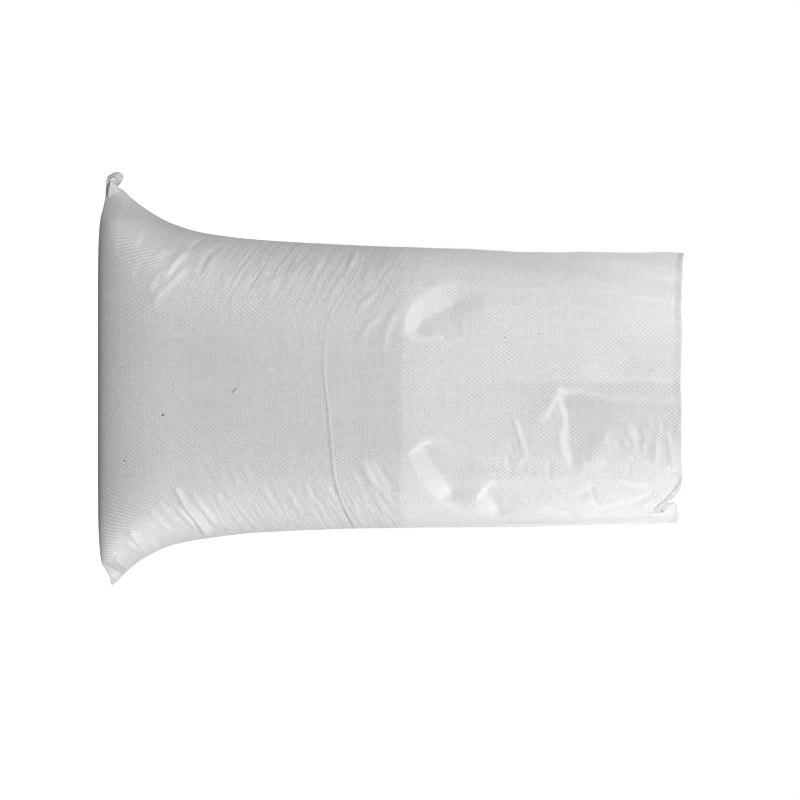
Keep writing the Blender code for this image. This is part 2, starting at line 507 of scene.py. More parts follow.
def back_ridges(seen, seed, count):
    """Loose folds of the empty part's back, drawn by rule."""
    rng = random.Random(seed)
    total = np.zeros(seen.shape[:-1])
    for _ in range(count):
        a, b = rng.uniform(-95, 95), rng.uniform(305, 520)
        turn, length = rng.uniform(-0.9, 0.9), rng.uniform(30, 80)
        tip = (a + math.sin(turn) * length, b + math.cos(turn) * length)
        middle = ((a + tip[0]) / 2 + rng.uniform(-8, 8), (b + tip[1]) / 2)
        height = rng.choice((-1, 1)) * rng.uniform(2.5, 6.0)
        left, right = rng.uniform(7, 20), rng.uniform(7, 20)
        total += fold(seen, [(a, b), middle, tip], height, left, right, (0.35, 0.35), 0.4)
    return total


front_facing = around[None, :] < 1e-6
seen_front, seen_back = seen_from(-1, cloth), seen_from(1, cloth)
broad = np.zeros(cloth.shape[:2])
for ridge in BROAD_RIDGES:
    broad += fold(seen_front, *ridge) * front_facing
for form in BROAD_DENTS:
    broad += dent(seen_front, *form) * front_facing
broad += back_ridges(seen_back, seed=5, count=16) * ~front_facing
noise_height = np.where(cloth[..., 2] > POWDER_LEVEL, SLACK_NOISE, TAUT_NOISE)
broad += rough_noise(seed=3, shape=broad.shape, rounds=60) * noise_height
print("broad forms from", round(float(broad.min()), 1), "to", round(float(broad.max()), 1), "mm")

# %% [markdown]
# ## Settling the cloth
# A copy with every fourth row and column is enough for the large forms, and settles in half a minute. Its
# rest shape is the flat tube as it was sewn, so the cloth keeps its true lengths. The powder and the floor
# are solid, the mouth and the base are held, and the last frame's shape is kept.

# %% The flat tube and the powder's loops
EXTRA_LENGTH = 1.025
FLAT_HALF_GAP = 0.004
POWDER_EDGE_ROWS, POWDER_WALL_ROWS = 14, 40
POWDER_EDGE_START = 0.25
POWDER_FLOOR = 0.003
EAR_EMPTY = 0.03


def plain_object(name, points, faces):
    mesh = bpy.data.meshes.new(name)
    mesh.from_pydata([tuple(p) for p in points], [], faces)
    return add_object(name, mesh)


def tube_faces(rows, columns):
    faces = []
    for r in range(rows - 1):
        for c in range(columns):
            d = (c + 1) % columns
            faces.append((r * columns + c, r * columns + d, (r + 1) * columns + d, (r + 1) * columns + c))
    return faces


def flat_tube(u, v, z, girth):
    """The sewn tube laid flat, with a little more length above the powder and taut girth below it."""
    lengths = -np.diff(v, axis=0)
    above = (z[1:] + z[:-1]) / 2 > POWDER_LEVEL
    longer = lengths * np.where(above, EXTRA_LENGTH, 1.0)
    up = np.concatenate([np.zeros((1, v.shape[1])), np.cumsum(longer, axis=0)])
    u = np.broadcast_to(u, v.shape)
    half = TUBE_GIRTH / 2
    across = np.where(u < half, half / 2 - u, u - 1.5 * half) * (girth / TUBE_GIRTH)[:, None]
    depth = np.where(u < half, FLAT_HALF_GAP, -FLAT_HALF_GAP)
    return np.stack([across, depth, up], axis=-1)


def powder_rows(inset, step):
    """Level loops just inside the cloth, pulled in at the ears."""
    turns = np.linspace(POWDER_EDGE_START, math.pi / 2, POWDER_EDGE_ROWS, endpoint=False)
    low = EDGE_HEIGHT * (1 - np.cos(turns))
    rows = []
    for z in np.concatenate([low, np.linspace(EDGE_HEIGHT, POWDER_LEVEL, POWDER_WALL_ROWS)]):
        loop = bend_ears(loop_points(z))
        offset = loop[:, :2] - (BODY_X, 0.0)
        size = np.linalg.norm(offset, axis=1, keepdims=True)
        tip = EAR_EMPTY * (1 - ease(0.0, SHOULDER, z)) * np.abs(along)[:, None] ** 6
        inner = offset * (size - inset - tip) / size + (BODY_X, 0.0)
        rows.append(np.column_stack([inner, np.full(len(inner), max(z, POWDER_FLOOR))])[::step])
    return rows


print("flat tube", TUBE_GIRTH / 2, "m wide")

# %% Cloth simulation
COARSE = 4
SETTLE_FRAMES = 26
TOUCH = 0.001
SETTLING_INSET, SETTLING_STEP = 0.0022, 3
FRICTION = 20
CLOTH_SETTINGS = {
    "quality": 5, "mass": 0.15, "tension_stiffness": 60, "compression_stiffness": 60, "shear_stiffness": 12,
    "bending_stiffness": 0.1, "tension_damping": 15, "compression_damping": 15, "shear_damping": 10,
    "bending_damping": 1.0, "air_damping": 3, "vertex_group_mass": "held", "pin_stiffness": 10,
}


def settling_solids():
    """The powder and the floor, which stop the cloth."""
    loops = powder_rows(SETTLING_INSET, SETTLING_STEP)
    count = len(loops[0])
    caps = [tuple(range(count)), tuple(range((len(loops) - 1) * count, len(loops) * count))[::-1]]
    powder = plain_object("settling_powder", np.concatenate(loops), tube_faces(len(loops), count) + caps)
    corners = [(x, y, -TOUCH) for x, y in ((-1, -1), (1, -1), (1, 1), (-1, 1))]
    ground = plain_object("settling_floor", corners, [(0, 1, 2, 3)])
    for item in (powder, ground):
        item.modifiers.new("solid", "COLLISION")
        item.collision.thickness_outer = TOUCH
        item.collision.cloth_friction = FRICTION
    return powder, ground


def make_it_cloth(tube, flat_key):
    modifier = tube.modifiers.new("cloth", "CLOTH")
    for name, value in CLOTH_SETTINGS.items():
        setattr(modifier.settings, name, value)
    modifier.settings.rest_shape_key = flat_key
    modifier.collision_settings.use_collision = True
    modifier.collision_settings.distance_min = TOUCH
    modifier.collision_settings.use_self_collision = False
    modifier.point_cache.frame_start = 1
    modifier.point_cache.frame_end = SETTLE_FRAMES + 1


def settle(start, u, v, girth):
    rows, columns = start.shape[:2]
    tube = plain_object("settling_cloth", start.reshape(-1, 3), tube_faces(rows, columns))
    tube.shape_key_add(name="Basis")
    flat_key = tube.shape_key_add(name="flat")
    flat_key.data.foreach_set("co", flat_tube(u, v, start[..., 2], girth).astype(np.float32).ravel())
    flat_key.value = 0.0
    solids = settling_solids()
    held = tube.vertex_groups.new(name="held")
    held.add(list(range(FLOOR_ROWS // COARSE * columns)), 1.0, "REPLACE")
    held.add(list(range((rows - 2) * columns, rows * columns)), 1.0, "REPLACE")
    make_it_cloth(tube, flat_key)
    for frame_number in range(1, SETTLE_FRAMES + 1):
        bpy.context.scene.frame_set(frame_number)
    settled = tube.evaluated_get(bpy.context.evaluated_depsgraph_get()).to_mesh()
    places = np.empty(rows * columns * 3, dtype=np.float32)
    settled.vertices.foreach_get("co", places)
    bpy.context.scene.frame_set(1)
    for item in (tube, *solids):
        bpy.data.objects.remove(item, do_unlink=True)
    return places.reshape(rows, columns, 3).astype(float)


# %% Coarse moves on the fine grid
FRONT_SHARE = 0.3
LOOSE_GIRTH, TAUT_GIRTH = 1.003, 0.998
MOVED_FROM, MOVED_TO = 0.02, 0.10


def between(values, axis, wrap):
    """Double the samples along one axis, with a smooth curve through four neighbours."""
    values = np.moveaxis(values, axis, 0)
    ahead = np.roll(values, -1, axis=0)
    further = np.roll(values, -2, axis=0)
    behind = np.roll(values, 1, axis=0)
    if not wrap:
        ahead[-1], further[-1], further[-2], behind[0] = values[-1], values[-1], values[-1], values[0]
    middle = (9 * (values + ahead) - behind - further) / 16
    made = np.empty((2 * len(values), *values.shape[1:]))
    made[0::2], made[1::2] = values, middle
    if not wrap:
        made = made[:-1]
    return np.moveaxis(made, 0, axis)


rough = push(cloth, broad)
coarse = cloth[::COARSE, ::COARSE]
girths = np.linalg.norm(np.roll(coarse, -1, axis=1) - coarse, axis=2).sum(axis=1)
girths *= np.where(coarse[:, 0, 2] > POWDER_LEVEL, LOOSE_GIRTH, TAUT_GIRTH)
coarse_u, coarse_v = flat_u[:-1][::COARSE], flat_v[::COARSE, ::COARSE]
settled_moves = settle(rough[::COARSE, ::COARSE], coarse_u, coarse_v, girths) - coarse
moves = settled_moves * ease(MOVED_FROM, MOVED_TO, cloth[::COARSE, ::COARSE, 2])[..., None]
for _ in range(int(math.log2(COARSE))):
    moves = between(between(moves, 0, False), 1, True)
moves *= (1 - (1 - FRONT_SHARE) * ease(0.0, 0.45, -around))[None, :, None]
cloth = cloth + moves
print("settled cloth moved up to", round(float(np.linalg.norm(moves, axis=2).max() / MM), 1), "mm")

# %% [markdown]
# ## Creases that the photo shows
# Crisp, narrow marks go on after the cloth has settled. From the base up: the wrinkles that run out of the
# two ears, a few just below the powder's level, the arc and the facets above it, the creases of the loose
# part and those at the mouth. Each line gives a path, a height, the widths on the path's two sides, its fades
# and how round its crest is. The fainter wrinkles of the taut sides and the back are drawn by rule.

# %% Named creases of the front
CREASES = [
    # out of the left ear
    ([(-142, 97), (-135, 86), (-129, 78)], -1.2, 3, 3.6, (0.3, 0.4), 0.06),
    ([(-131, 80), (-116, 65), (-104, 57), (-92, 49)], 2.3, 3.6, 4.6, (0.25, 0.3), 0.04),
    ([(-116, 79), (-97, 62), (-84, 48), (-67, 38)], 1.7, 5, 5, (0.25, 0.35), 0.05),
    ([(-113, 57), (-98, 45), (-84, 37)], 1.7, 4, 4.6, (0.25, 0.3), 0.05),
    ([(-131, 58), (-125, 50), (-117, 42)], 1.0, 3.6, 4, (0.3, 0.3), 0.1),
    ([(-134, 112), (-124, 100), (-110, 88)], -1.2, 3.2, 5, (0.3, 0.4), 0.1),
    ([(-120, 36), (-110, 30), (-96, 24)], -0.8, 3.4, 4.4, (0.35, 0.35), 0.2),
    ([(-150, 40), (-138, 33), (-126, 27)], -0.9, 3.4, 4.4, (0.35, 0.35), 0.2),
    # out of the right ear
    ([(107, 63), (116, 69), (126, 74), (139, 85), (151, 93), (158, 98)], 4.2,
     [2.8, 4, 5.5, 6.5, 7, 7], 2.8, (0.15, 0.12), 0.04),
    ([(125, 63), (135, 73), (150, 87)], 1.7, 3, 3, (0.35, 0.15), 0.06),
    ([(108, 80), (120, 86), (133, 96), (149, 107)], 1.5, 3, 4.4, (0.35, 0.2), 0.08),
    ([(118, 44), (132, 56), (146, 70)], 0.9, 3.4, 3.4, (0.35, 0.25), 0.1),
    ([(124, 36), (140, 47), (154, 62)], 0.9, 3.4, 3.4, (0.35, 0.25), 0.1),
    ([(150, 16), (162, 27), (169, 33), (175, 43)], 2.8, 4, 2.8, (0.25, 0.4), 0.05),
    ([(160, 15), (167, 22), (176, 38)], 2.0, 3.4, 2.8, (0.3, 0.4), 0.05),
    ([(160, 36), (165, 42), (169, 50)], 1.6, 3.4, 3, (0.3, 0.5), 0.05),
    ([(178, 4), (184, 11), (190, 19)], 3.4, 6, 2.8, (0.1, 0.15), 0.05),
    ([(188, -5), (192, 3), (196, 12)], -3.2, 3, 6, (0.02, 0.05), 0.05),
    # just below the level
    ([(-20, 270), (-52, 278), (-76, 292)], 1.1, 6.0, 5.0, (0.4, 0.3), 0.2),
    ([(-34, 248), (-52, 258), (-68, 276)], 1.0, 5.0, 4.0, (0.4, 0.4), 0.2),
    ([(-60, 246), (-76, 254), (-90, 268)], 0.8, 4.0, 4.0, (0.4, 0.4), 0.2),
    ([(74, 262), (94, 274), (116, 290)], -1.3, 5.0, 6.0, (0.4, 0.3), 0.2),
    ([(72, 250), (92, 258), (118, 272)], 1.0, 5.0, 5.0, (0.4, 0.4), 0.2),
    # the arc above the level
    ([(-41, 300), (-55, 307), (-64, 315), (-70, 327), (-78, 342), (-80, 360), (-82, 380)], -7.0,
     [5, 12, 19, 20, 18, 14, 9], [12, 24, 34, 38, 36, 32, 28], (0.16, 0.5), 0.06),
    # the facet at the right and the one above it
    ([(66, 311), (75, 316), (91, 325), (109, 338), (121, 342), (131, 341)], -6.5,
     [12, 30, 40, 40, 30, 18], [15, 17, 18, 18, 16, 12], (0.06, 0.2), 0.05),
    ([(112, 371), (122, 382), (130, 389), (140, 392)], -2.6,
     [14, 24, 26, 20], [14, 18, 20, 16], (0.15, 0.25), 0.08),
    # the loose part
    ([(4, 300), (2, 380), (0, 480)], -1.4, 34, 16, (0.2, 0.3), 0.2),
    ([(-3, 458), (-5, 510), (-1, 574)], -5.0, 46, 24, (0.5, 0.0), 0.06),
    ([(8, 454), (12, 449), (29, 439), (39, 431), (49, 420)], 1.7,
     [2, 3, 5, 8, 9], [8, 14, 22, 22, 20], (0.1, 0.35), 0.04),
    ([(13, 451), (27, 454), (41, 458), (58, 457), (72, 459), (86, 464), (96, 468)], -4.6,
     [12, 40, 50, 44, 34, 24, 12], [3.2, 3.2, 3.6, 5, 6, 7, 7], (0.12, 0.35), 0.04),
    ([(56, 446), (72, 455), (84, 461)], 0.9, 4, 7, (0.3, 0.3), 0.1),
    ([(112, 440), (118, 462), (110, 486)], -1.3, 4, 9, (0.3, 0.3), 0.1),
    ([(139, 470), (131, 500), (122, 532), (112, 552)], -1.6, 4, 8, (0.2, 0.3), 0.08),
    ([(128, 430), (132, 452), (138, 470)], -1.2, 4, 7, (0.3, 0.2), 0.1),
    ([(96, 500), (104, 520), (108, 540)], 1.0, 6, 4, (0.3, 0.3), 0.1),
    ([(96, 474), (84, 483), (62, 493), (40, 506)], 0.8, 20, 14, (0.1, 0.4), 0.1),
    ([(37, 402), (51, 408), (65, 412), (84, 416)], 1.6, 3.4, 3.6, (0.2, 0.25), 0.05),
    ([(112, 376), (124, 384), (140, 392)], -1.0, 8, 8, (0.25, 0.2), 0.2),
    ([(104, 480), (122, 485), (132, 492)], -1.1, 3.2, 3.2, (0.25, 0.3), 0.1),
    ([(52, 557), (68, 559), (92, 564)], 1.6, 9, 2.8, (0.25, 0.1), 0.05),
    ([(56, 545), (88, 546)], 1.1, 4, 3, (0.3, 0.3), 0.1),
    ([(34, 537), (52, 540)], 0.8, 4, 3, (0.3, 0.3), 0.1),
    ([(56, 518), (70, 520)], -0.9, 4, 3, (0.3, 0.3), 0.1),
    ([(-124, 350), (-120, 450), (-104, 530), (-98, 574)], -2.8, 10, 15, (0.3, 0.0), 0.1),
    ([(-84, 508), (-80, 545), (-74, 574)], 0.8, 3.6, 3.6, (0.4, 0.0), 0.2),
]


def side_wrinkles(seen, seed, count, side, up):
    """Faint wrinkles of the taut part, which leave one side and run down and inwards."""
    rng = random.Random(seed)
    total = np.zeros(seen.shape[:-1])
    low, high = up
    for index in range(count):
        b = low + (high - low) * (index + rng.uniform(0.0, 1.0)) / count
        outer = 140 + max(0.0, 90 - b) * 0.3 - rng.uniform(8, 34)
        length = rng.uniform(16, 46)
        lean = rng.uniform(0.35, 0.75)
        inner = outer - length
        bow = rng.uniform(-1.5, 1.5)
        points = [(side * outer, b), (side * (outer + inner) / 2 + bow, b - length * lean * 0.55),
                  (side * inner, b - length * lean)]
        height = rng.uniform(0.25, 0.95)
        width = rng.uniform(3.2, 5.6)
        total += fold(seen, points, height, width, width, (0.4, 0.5), 0.2, flat_sided=True)
    return total


def both_sides(seen, seed, count, up):
    """Side wrinkles of the left side, then of the right."""
    return side_wrinkles(seen, seed, count, -1, up) + side_wrinkles(seen, seed + 1, count, 1, up)


def cross_creases(seen, seed, count, across, up):
    """Short fine creases along the cross tapes."""
    rng = random.Random(seed)
    total = np.zeros(seen.shape[:-1])
    for _ in range(count):
        a, b = rng.uniform(*across), rng.uniform(*up)
        length = rng.uniform(10, 26)
        points = [(a, b), (a + length, b + rng.uniform(-2, 3))]
        height = rng.choice((-1, 1)) * rng.uniform(0.4, 1.1)
        total += fold(seen, points, height, 3.2, 3.2, (0.4, 0.4), 0.2, flat_sided=True)
    return total


seen_front, seen_back = seen_from(-1, cloth), seen_from(1, cloth)
fine = np.zeros(cloth.shape[:2])
for crease_values in CREASES:
    fine += fold(seen_front, *crease_values, flat_sided=True)
fine += both_sides(seen_front, seed=7, count=20, up=(90, 300))
fine += (cross_creases(seen_front, seed=9, count=26, across=(34, 86), up=(470, 566))
         + cross_creases(seen_front, seed=10, count=12, across=(40, 90), up=(390, 440)))
fine *= front_facing
behind = both_sides(seen_back, seed=17, count=30, up=(80, 300))
behind += cross_creases(seen_back, seed=19, count=24, across=(-90, 90), up=(320, 560))
fine += behind * ~front_facing
cloth = push(cloth, fine)
print("creases", len(CREASES), "highest", round(float(fine.max()), 2), "mm")

# %% [markdown]
# ## The mouth
# The cut edge wavers a little. At the right side it drops into a notch, where the corner of the mouth has
# been turned over into a narrow lip; the back of the sack shows through the notch. Beside the notch the front
# lies over the side, along a line that the first table gives as degrees from the right side at each height.

# %% Mouth corner
OVERLAP_LINE = [(0.480, 3.0), (0.490, 7.0), (0.515, 17.0), (0.535, 24.0), (0.548, 28.0), (0.574, 29.0)]
OVERLAP_ALONG = [(-40, 0), (-3, 6.5), (0, 7.0), (3, -3.0), (6, -14.0), (9, -15.0), (46, 0)]
OVERLAP_OUT = [(-40, 0), (-3, 1.4), (0, 0.8), (3, -1.8), (6, -3.8), (9, -3.8), (46, 0)]
OVERLAP_FROM, OVERLAP_TO = 0.490, 0.556
RADIUS_MM = 137.0


def read_table(table, values):
    return np.interp(values, [row[0] for row in table], [row[1] for row in table])


from_side = np.degrees(np.arctan2(-around, along))
facing_right = np.abs(from_side) < 90
edge_at = read_table(OVERLAP_LINE, cloth[..., 2])
past_edge = np.radians(edge_at - from_side[None, :]) * RADIUS_MM
amount = ease(OVERLAP_FROM, OVERLAP_TO, cloth[..., 2]) * facing_right
tangent = np.roll(cloth, -1, axis=1) - np.roll(cloth, 1, axis=1)
tangent /= np.maximum(np.linalg.norm(tangent, axis=2, keepdims=True), 1e-9)
outward = grid_normals(cloth)
slide = read_table(OVERLAP_ALONG, past_edge) * amount
lift = read_table(OVERLAP_OUT, past_edge) * amount
cloth = cloth + tangent * (slide * MM)[..., None]
cloth = cloth + outward * (lift * MM)[..., None]
print("overlap slides up to", round(float(np.abs(slide).max()), 1), "mm")

# %% Notch and wavering edge
NOTCH = [
    (-60, 0), (-40, 2), (-20, 5), (0, 9), (10, 6), (17, 4.5), (22, 6), (25.5, 7), (27, 11), (29, 21),
    (32, 22), (35, 18), (38, 11.5), (42, 4.2), (45, 1.2), (48, 0.3), (51, 0), (60, 0),
]
EDGE_WAVES = ((0.3, 5, 1.0), (0.3, 11, 0.4), (0.25, 23, 0.0))
CUT_FROM = 0.515

notch_depth = read_table(NOTCH, from_side) * MM
edge_wave = sum(height * np.sin(count * angles + start) for height, count, start in EDGE_WAVES)
near_mouth = ease(CUT_FROM, SIDE_TOP - RIM_DIP, cloth[..., 2])
cut = (notch_depth + edge_wave * MM)[None, :] * near_mouth
cloth[..., 2] -= cut
flat_v = flat_v + np.maximum(cut, 0.0)
edge_z = cloth[-1, :, 2]
print("mouth edge from", round(float(edge_z.min()), 3), "to", round(float(edge_z.max()), 3), "m")

# %% Turned-over lip
LIP_FROM, LIP_TO = 50.0, 30.0
LIP_GROWTH = 9.0
LIP_NARROW = 0.25
LIP_ROWS = ((0.0, -0.1), (-0.4, 0.2), (0.3, 0.45), (1.5, 0.55), (4.0, 0.45), (6.0, 0.3), (6.5, 0.05))
ROWS_BELOW = 6


def lip_points():
    """From the mouth's edge outwards and down, as rows of width down and gap outwards, in mm."""
    columns = [c for c in range(column_count) if LIP_TO <= from_side[c] <= LIP_FROM]
    columns.sort(key=lambda c: -from_side[c])
    facing = grid_normals(cloth)
    rows = []
    for width, gap in LIP_ROWS:
        row = []
        for c in columns:
            edge = cloth[-1, c]
            below = cloth[-1 - ROWS_BELOW, c]
            down = (below - edge) / np.linalg.norm(below - edge)
            share = ease(LIP_FROM, LIP_FROM - LIP_GROWTH, from_side[c])
            grown = LIP_NARROW + (1 - LIP_NARROW) * share
            row.append(edge + down * (width * MM * grown) + facing[-2, c] * gap * MM)
        rows.append(row)
    return np.array(rows)


lip = lip_points()
print("lip", lip.shape[1], "columns long")

# %% [markdown]
# ## The hem
# The sack is closed by one seam: its end is folded over once and stitched, which makes a stiff strip. The
# strip lies flat under the sack, and the cloth beside it rises a little to lie on it.

# %% Hem strip
HEM_FRONT, HEM_BACK = -0.004, 0.020
HEM_THICK = 0.0009
HEM_FLOOR = 0.0006
HEM_EDGE, HEM_MIDDLE, HEM_HOLLOW = 0.0005, 0.008, 0.0001
HEM_PAST_LEFT, HEM_PAST_RIGHT = 0.010, 0.008
HEM_NARROWED, HEM_END_SHARE, HEM_LINE = 0.020, 0.15, 0.002
HEM_WAVES = ((0.0006, 90, 0), (0.0004, 210, 1))
HEM_RISE, RISE_FULL, RISE_END = 0.0017, 0.0125, 0.026


def hem_profile():
    """The strip's outline across its length, from the front edge round underneath."""
    back, front = HEM_BACK, HEM_FRONT
    low, high = HEM_FLOOR, HEM_FLOOR + HEM_THICK
    half = (low + high) / 2
    return [(front, half), (front + HEM_EDGE, low), (HEM_MIDDLE, low + HEM_HOLLOW), (back - HEM_EDGE, low),
            (back, half), (back - HEM_EDGE, high), (HEM_MIDDLE, high), (front + HEM_EDGE, high)]


def hem_points(count=120):
    left, right = cloth[0, :, 0].min() - HEM_PAST_LEFT, cloth[0, :, 0].max() + HEM_PAST_RIGHT
    rows = []
    for x in np.linspace(left, right, count):
        wave = sum(height * math.sin(x * times + start) for height, times, start in HEM_WAVES)
        narrow = ease(0.0, HEM_NARROWED, min(x - left, right - x)) * (1 - HEM_END_SHARE) + HEM_END_SHARE
        rows.append([(x, HEM_LINE + (y - HEM_LINE) * narrow + wave, z) for y, z in hem_profile()])
    return bend_ears(np.array(rows))


hem = hem_points()
strip_y = 0.5 * (HEM_FRONT + HEM_BACK) + bend_ears(cloth * (1.0, 0.0, 0.0))[..., 1]
lift_off = HEM_RISE * (1 - ease(RISE_FULL, RISE_END, np.abs(cloth[..., 1] - strip_y)))
cloth[..., 2] = np.maximum(cloth[..., 2], lift_off)
print("hem strip", round(float(np.ptp(hem[..., 0])), 3), "m long")

# %% [markdown]
# ## The left ear's tip
# At the left ear the hem's end has come free and curls up and over. Flap, facet and curl are ribbons, and
# each point of their edges is given in millimetres across, up and back, as the camera sees it. Below zero,
# the last number is nearer to the camera.

# %% Curled end
FLAP = [
    ((-170, -3.6, -37), (-172, -2, -37), (-173, 5, -36)),
    ((-178, -4, -40), (-180, -2.4, -40), (-181, 7.6, -37)),
    ((-189, -4.4, -41), (-190, -0.8, -40), (-190.5, 9.3, -37)),
    ((-198, -3.6, -41), (-198, 1.0, -40), (-196.5, 6.0, -38)),
    ((-201.5, -3.0, -40), (-201.2, 0.2, -39.5), (-200.4, 2.6, -39)),
]
FACET = [
    ((-200.9, 0.9, -43.0), (-200.4, 2.4, -41.5)),
    ((-195.0, 0.0, -44.6), (-195.0, 5.8, -40.5)),
    ((-191.0, -1.0, -45.2), (-190.4, 9.4, -39.5)),
    ((-186.0, -1.9, -45.2), (-184.0, 8.9, -39.5)),
    ((-181.0, -2.7, -44.6), (-179.0, 5.0, -41.0)),
    ((-177.0, -3.2, -42.5), (-176.4, 0.4, -42.0)),
]
CURL = [
    ((-197, -3.6, -36), (-197.6, 1.6, -37)),
    ((-202, -2.7, -36), (-200.4, 2.0, -39)),
    ((-205.2, 1.0, -35), (-200.8, 3.2, -41)),
    ((-207.2, 6.4, -34), (-199.6, 4.4, -42)),
    ((-206.0, 11.2, -34), (-197.6, 5.8, -42)),
    ((-202.0, 13.7, -35), (-195.6, 7.0, -41)),
    ((-197.4, 11.8, -36), (-194.2, 7.8, -39)),
    ((-193.6, 9.1, -37), (-193.6, 8.4, -37.5)),
]
RIBBON_PIECES = 4


def placed(a, b, y):
    """The point at depth y mm that the camera sees at a mm across and b mm up."""
    share = (VIEW_DISTANCE + y * MM) / VIEW_DISTANCE
    x = VIEW_CENTRE_X + (a * MM - VIEW_CENTRE_X) * share
    return (x, y * MM, VIEW_HEIGHT + (b * MM - VIEW_HEIGHT) * share)


def flap_points():
    rows = []
    for left, middle, right in rounded(FLAP, RIBBON_PIECES):
        rows.append([placed(*(left + (middle - left) * t)) for t in (0, 0.33, 0.67)]
                    + [placed(*(middle + (right - middle) * t)) for t in (0, 0.25, 0.5, 0.75, 1)])
    return np.array(rows)


def ribbon_points(ribbon, bulge):
    """A ribbon between two edges, bulged towards the camera by a share of its width."""
    rows = []
    for outer, inner in rounded(ribbon, RIBBON_PIECES):
        width = np.linalg.norm((inner - outer)[:2])
        row = []
        for t in np.linspace(0, 1, 9):
            point = outer + (inner - outer) * t
            point[2] -= bulge * width * math.sin(math.pi * t)
            row.append(placed(*point))
        rows.append(row)
    return np.array(rows)


flap, curl, facet = flap_points(), ribbon_points(CURL, 0.38), ribbon_points(FACET, 0.04)
print("curl", round(float(np.ptp(curl[..., 2]) / MM), 1), "mm high")

# %% [markdown]
# ## From grids to one mesh
# The tube is one sheet of quads, with a narrow lining at the mouth that gives its cut edge a thickness. Front
# and back have different numbers of columns, so the seam is closed by walking along both and always stepping
# on the one that lags. The lip, the ear's flap and its curl get their thickness from a Solidify modifier, and
# the hem strip is folded cloth with a thickness of its own. All are joined, because they are one piece of
# cloth. Each point keeps a crease mark: how far the tape is whitened by folding, together with painted
# highlights on slopes that face the mouth and on the turned-back front.

# %% Sheets of quads
FABRIC_THICKNESS = 0.0003


def new_cloth():
    """An empty mesh with the layers that every part of the cloth has."""
    shape = bmesh.new()
    shape.loops.layers.uv.new("flat_cloth")
    shape.verts.layers.float.new("crease_and_highlight")
    return shape


def add_sheet(shape, points, u, v, crease_and_highlight=None, wrap=False, flip=False):
    """Add a grid of quads with its flat places, and give back its rows of vertices."""
    layer = shape.loops.layers.uv["flat_cloth"]
    mark = shape.verts.layers.float["crease_and_highlight"]
    rows = [[shape.verts.new(p) for p in row] for row in points]
    if crease_and_highlight is not None:
        for row, values in zip(rows, crease_and_highlight):
            for vertex, value in zip(row, values):
                vertex[mark] = value
    columns = len(rows[0])
    for r in range(len(rows) - 1):
        for c in range(columns if wrap else columns - 1):
            d = (c + 1) % columns
            corners = [(rows[r][c], u[r][c], v[r][c]), (rows[r][d], u[r][c + 1], v[r][d]),
                       (rows[r + 1][d], u[r + 1][c + 1], v[r + 1][d]),
                       (rows[r + 1][c], u[r + 1][c], v[r + 1][c])]
            if flip:
                corners.reverse()
            face = shape.faces.new([corner[0] for corner in corners])
            face.smooth = True
            for loop, corner in zip(face.loops, corners):
                loop[layer].uv = corner[1:]
    return rows


def own_lengths(points):
    """Lengths across and along a small grid, as its flat places."""
    across = np.linalg.norm(np.diff(points, axis=1), axis=2)
    upward = np.linalg.norm(np.diff(points, axis=0), axis=2)
    u = np.concatenate([np.zeros((len(points), 1)), np.cumsum(across, axis=1)], axis=1)
    v = np.concatenate([np.zeros((1, points.shape[1])), np.cumsum(upward, axis=0)])
    return u, v


def close_seam(shape, row):
    """Fill between the front and the back of the first row, from the right ear to the left."""
    layer = shape.loops.layers.uv["flat_cloth"]
    back = row[:BACK_COLUMNS + 1]
    front = [row[0]] + row[:BACK_COLUMNS - 1:-1]
    i = j = 0
    while i < len(back) - 1 or j < len(front) - 1:
        back_next = back[i + 1].co.x if i < len(back) - 1 else -9.0
        front_next = front[j + 1].co.x if j < len(front) - 1 else -9.0
        if back_next > front_next:
            corners = (back[i], front[j], back[i + 1])
            i += 1
        else:
            corners = (back[i], front[j], front[j + 1])
            j += 1
        if len(set(corners)) == 3:
            face = shape.faces.new(corners)
            face.smooth = True
            for loop in face.loops:
                loop[layer].uv = (loop.vert.co.x, loop.vert.co.y)


def finish_mesh(shape, name):
    mesh = bpy.data.meshes.new(name)
    shape.to_mesh(mesh)
    shape.free()
    return add_object(name, mesh)


# %% Crease marks and painted highlights
NEIGHBOURS = (-6, -4, -2, 2, 4, 6)
RIDGE_FULL = 1.5
HIGHLIGHT_SLOPE_SHARE, HIGHLIGHT_SLOPE_FULL = 0.8, 0.7
TURNED_BACK_HIGHLIGHT = 0.45


def crease_and_highlight_marks():
    """Marks at narrow ridges, partly whitened tape and partly painted highlight, and painted highlights on
    slopes that face the mouth and where the front is turned back.
    """
    around_it = sum(np.roll(fine, step, axis=1) for step in NEIGHBOURS) / len(NEIGHBOURS)
    # Painted highlight on slopes that face the mouth; the ridge marks are partly real whitening and partly
    # painted highlight.
    highlight_slopes = -HIGHLIGHT_SLOPE_SHARE * np.gradient(fine, axis=0) / HIGHLIGHT_SLOPE_FULL
    marks = np.clip(np.maximum((fine - around_it) / RIDGE_FULL, highlight_slopes), 0, 1)
    # Painted highlight on the front where it is turned back at the mouth's corner.
    turned_back = ease(-46, -34, from_side) * (1 - ease(26, 28, from_side))
    return np.maximum(marks, TURNED_BACK_HIGHLIGHT * turned_back * ease(0.535, 0.560, cloth[..., 2]))


marks = crease_and_highlight_marks()
print("crease marks on", int((marks > 0.1).sum()), "points")

# %% Sack mesh
LINING = [1.0, 1.0, 0.9, 0.6, 0.1]
SEAM_HALF_GAP = 0.0004


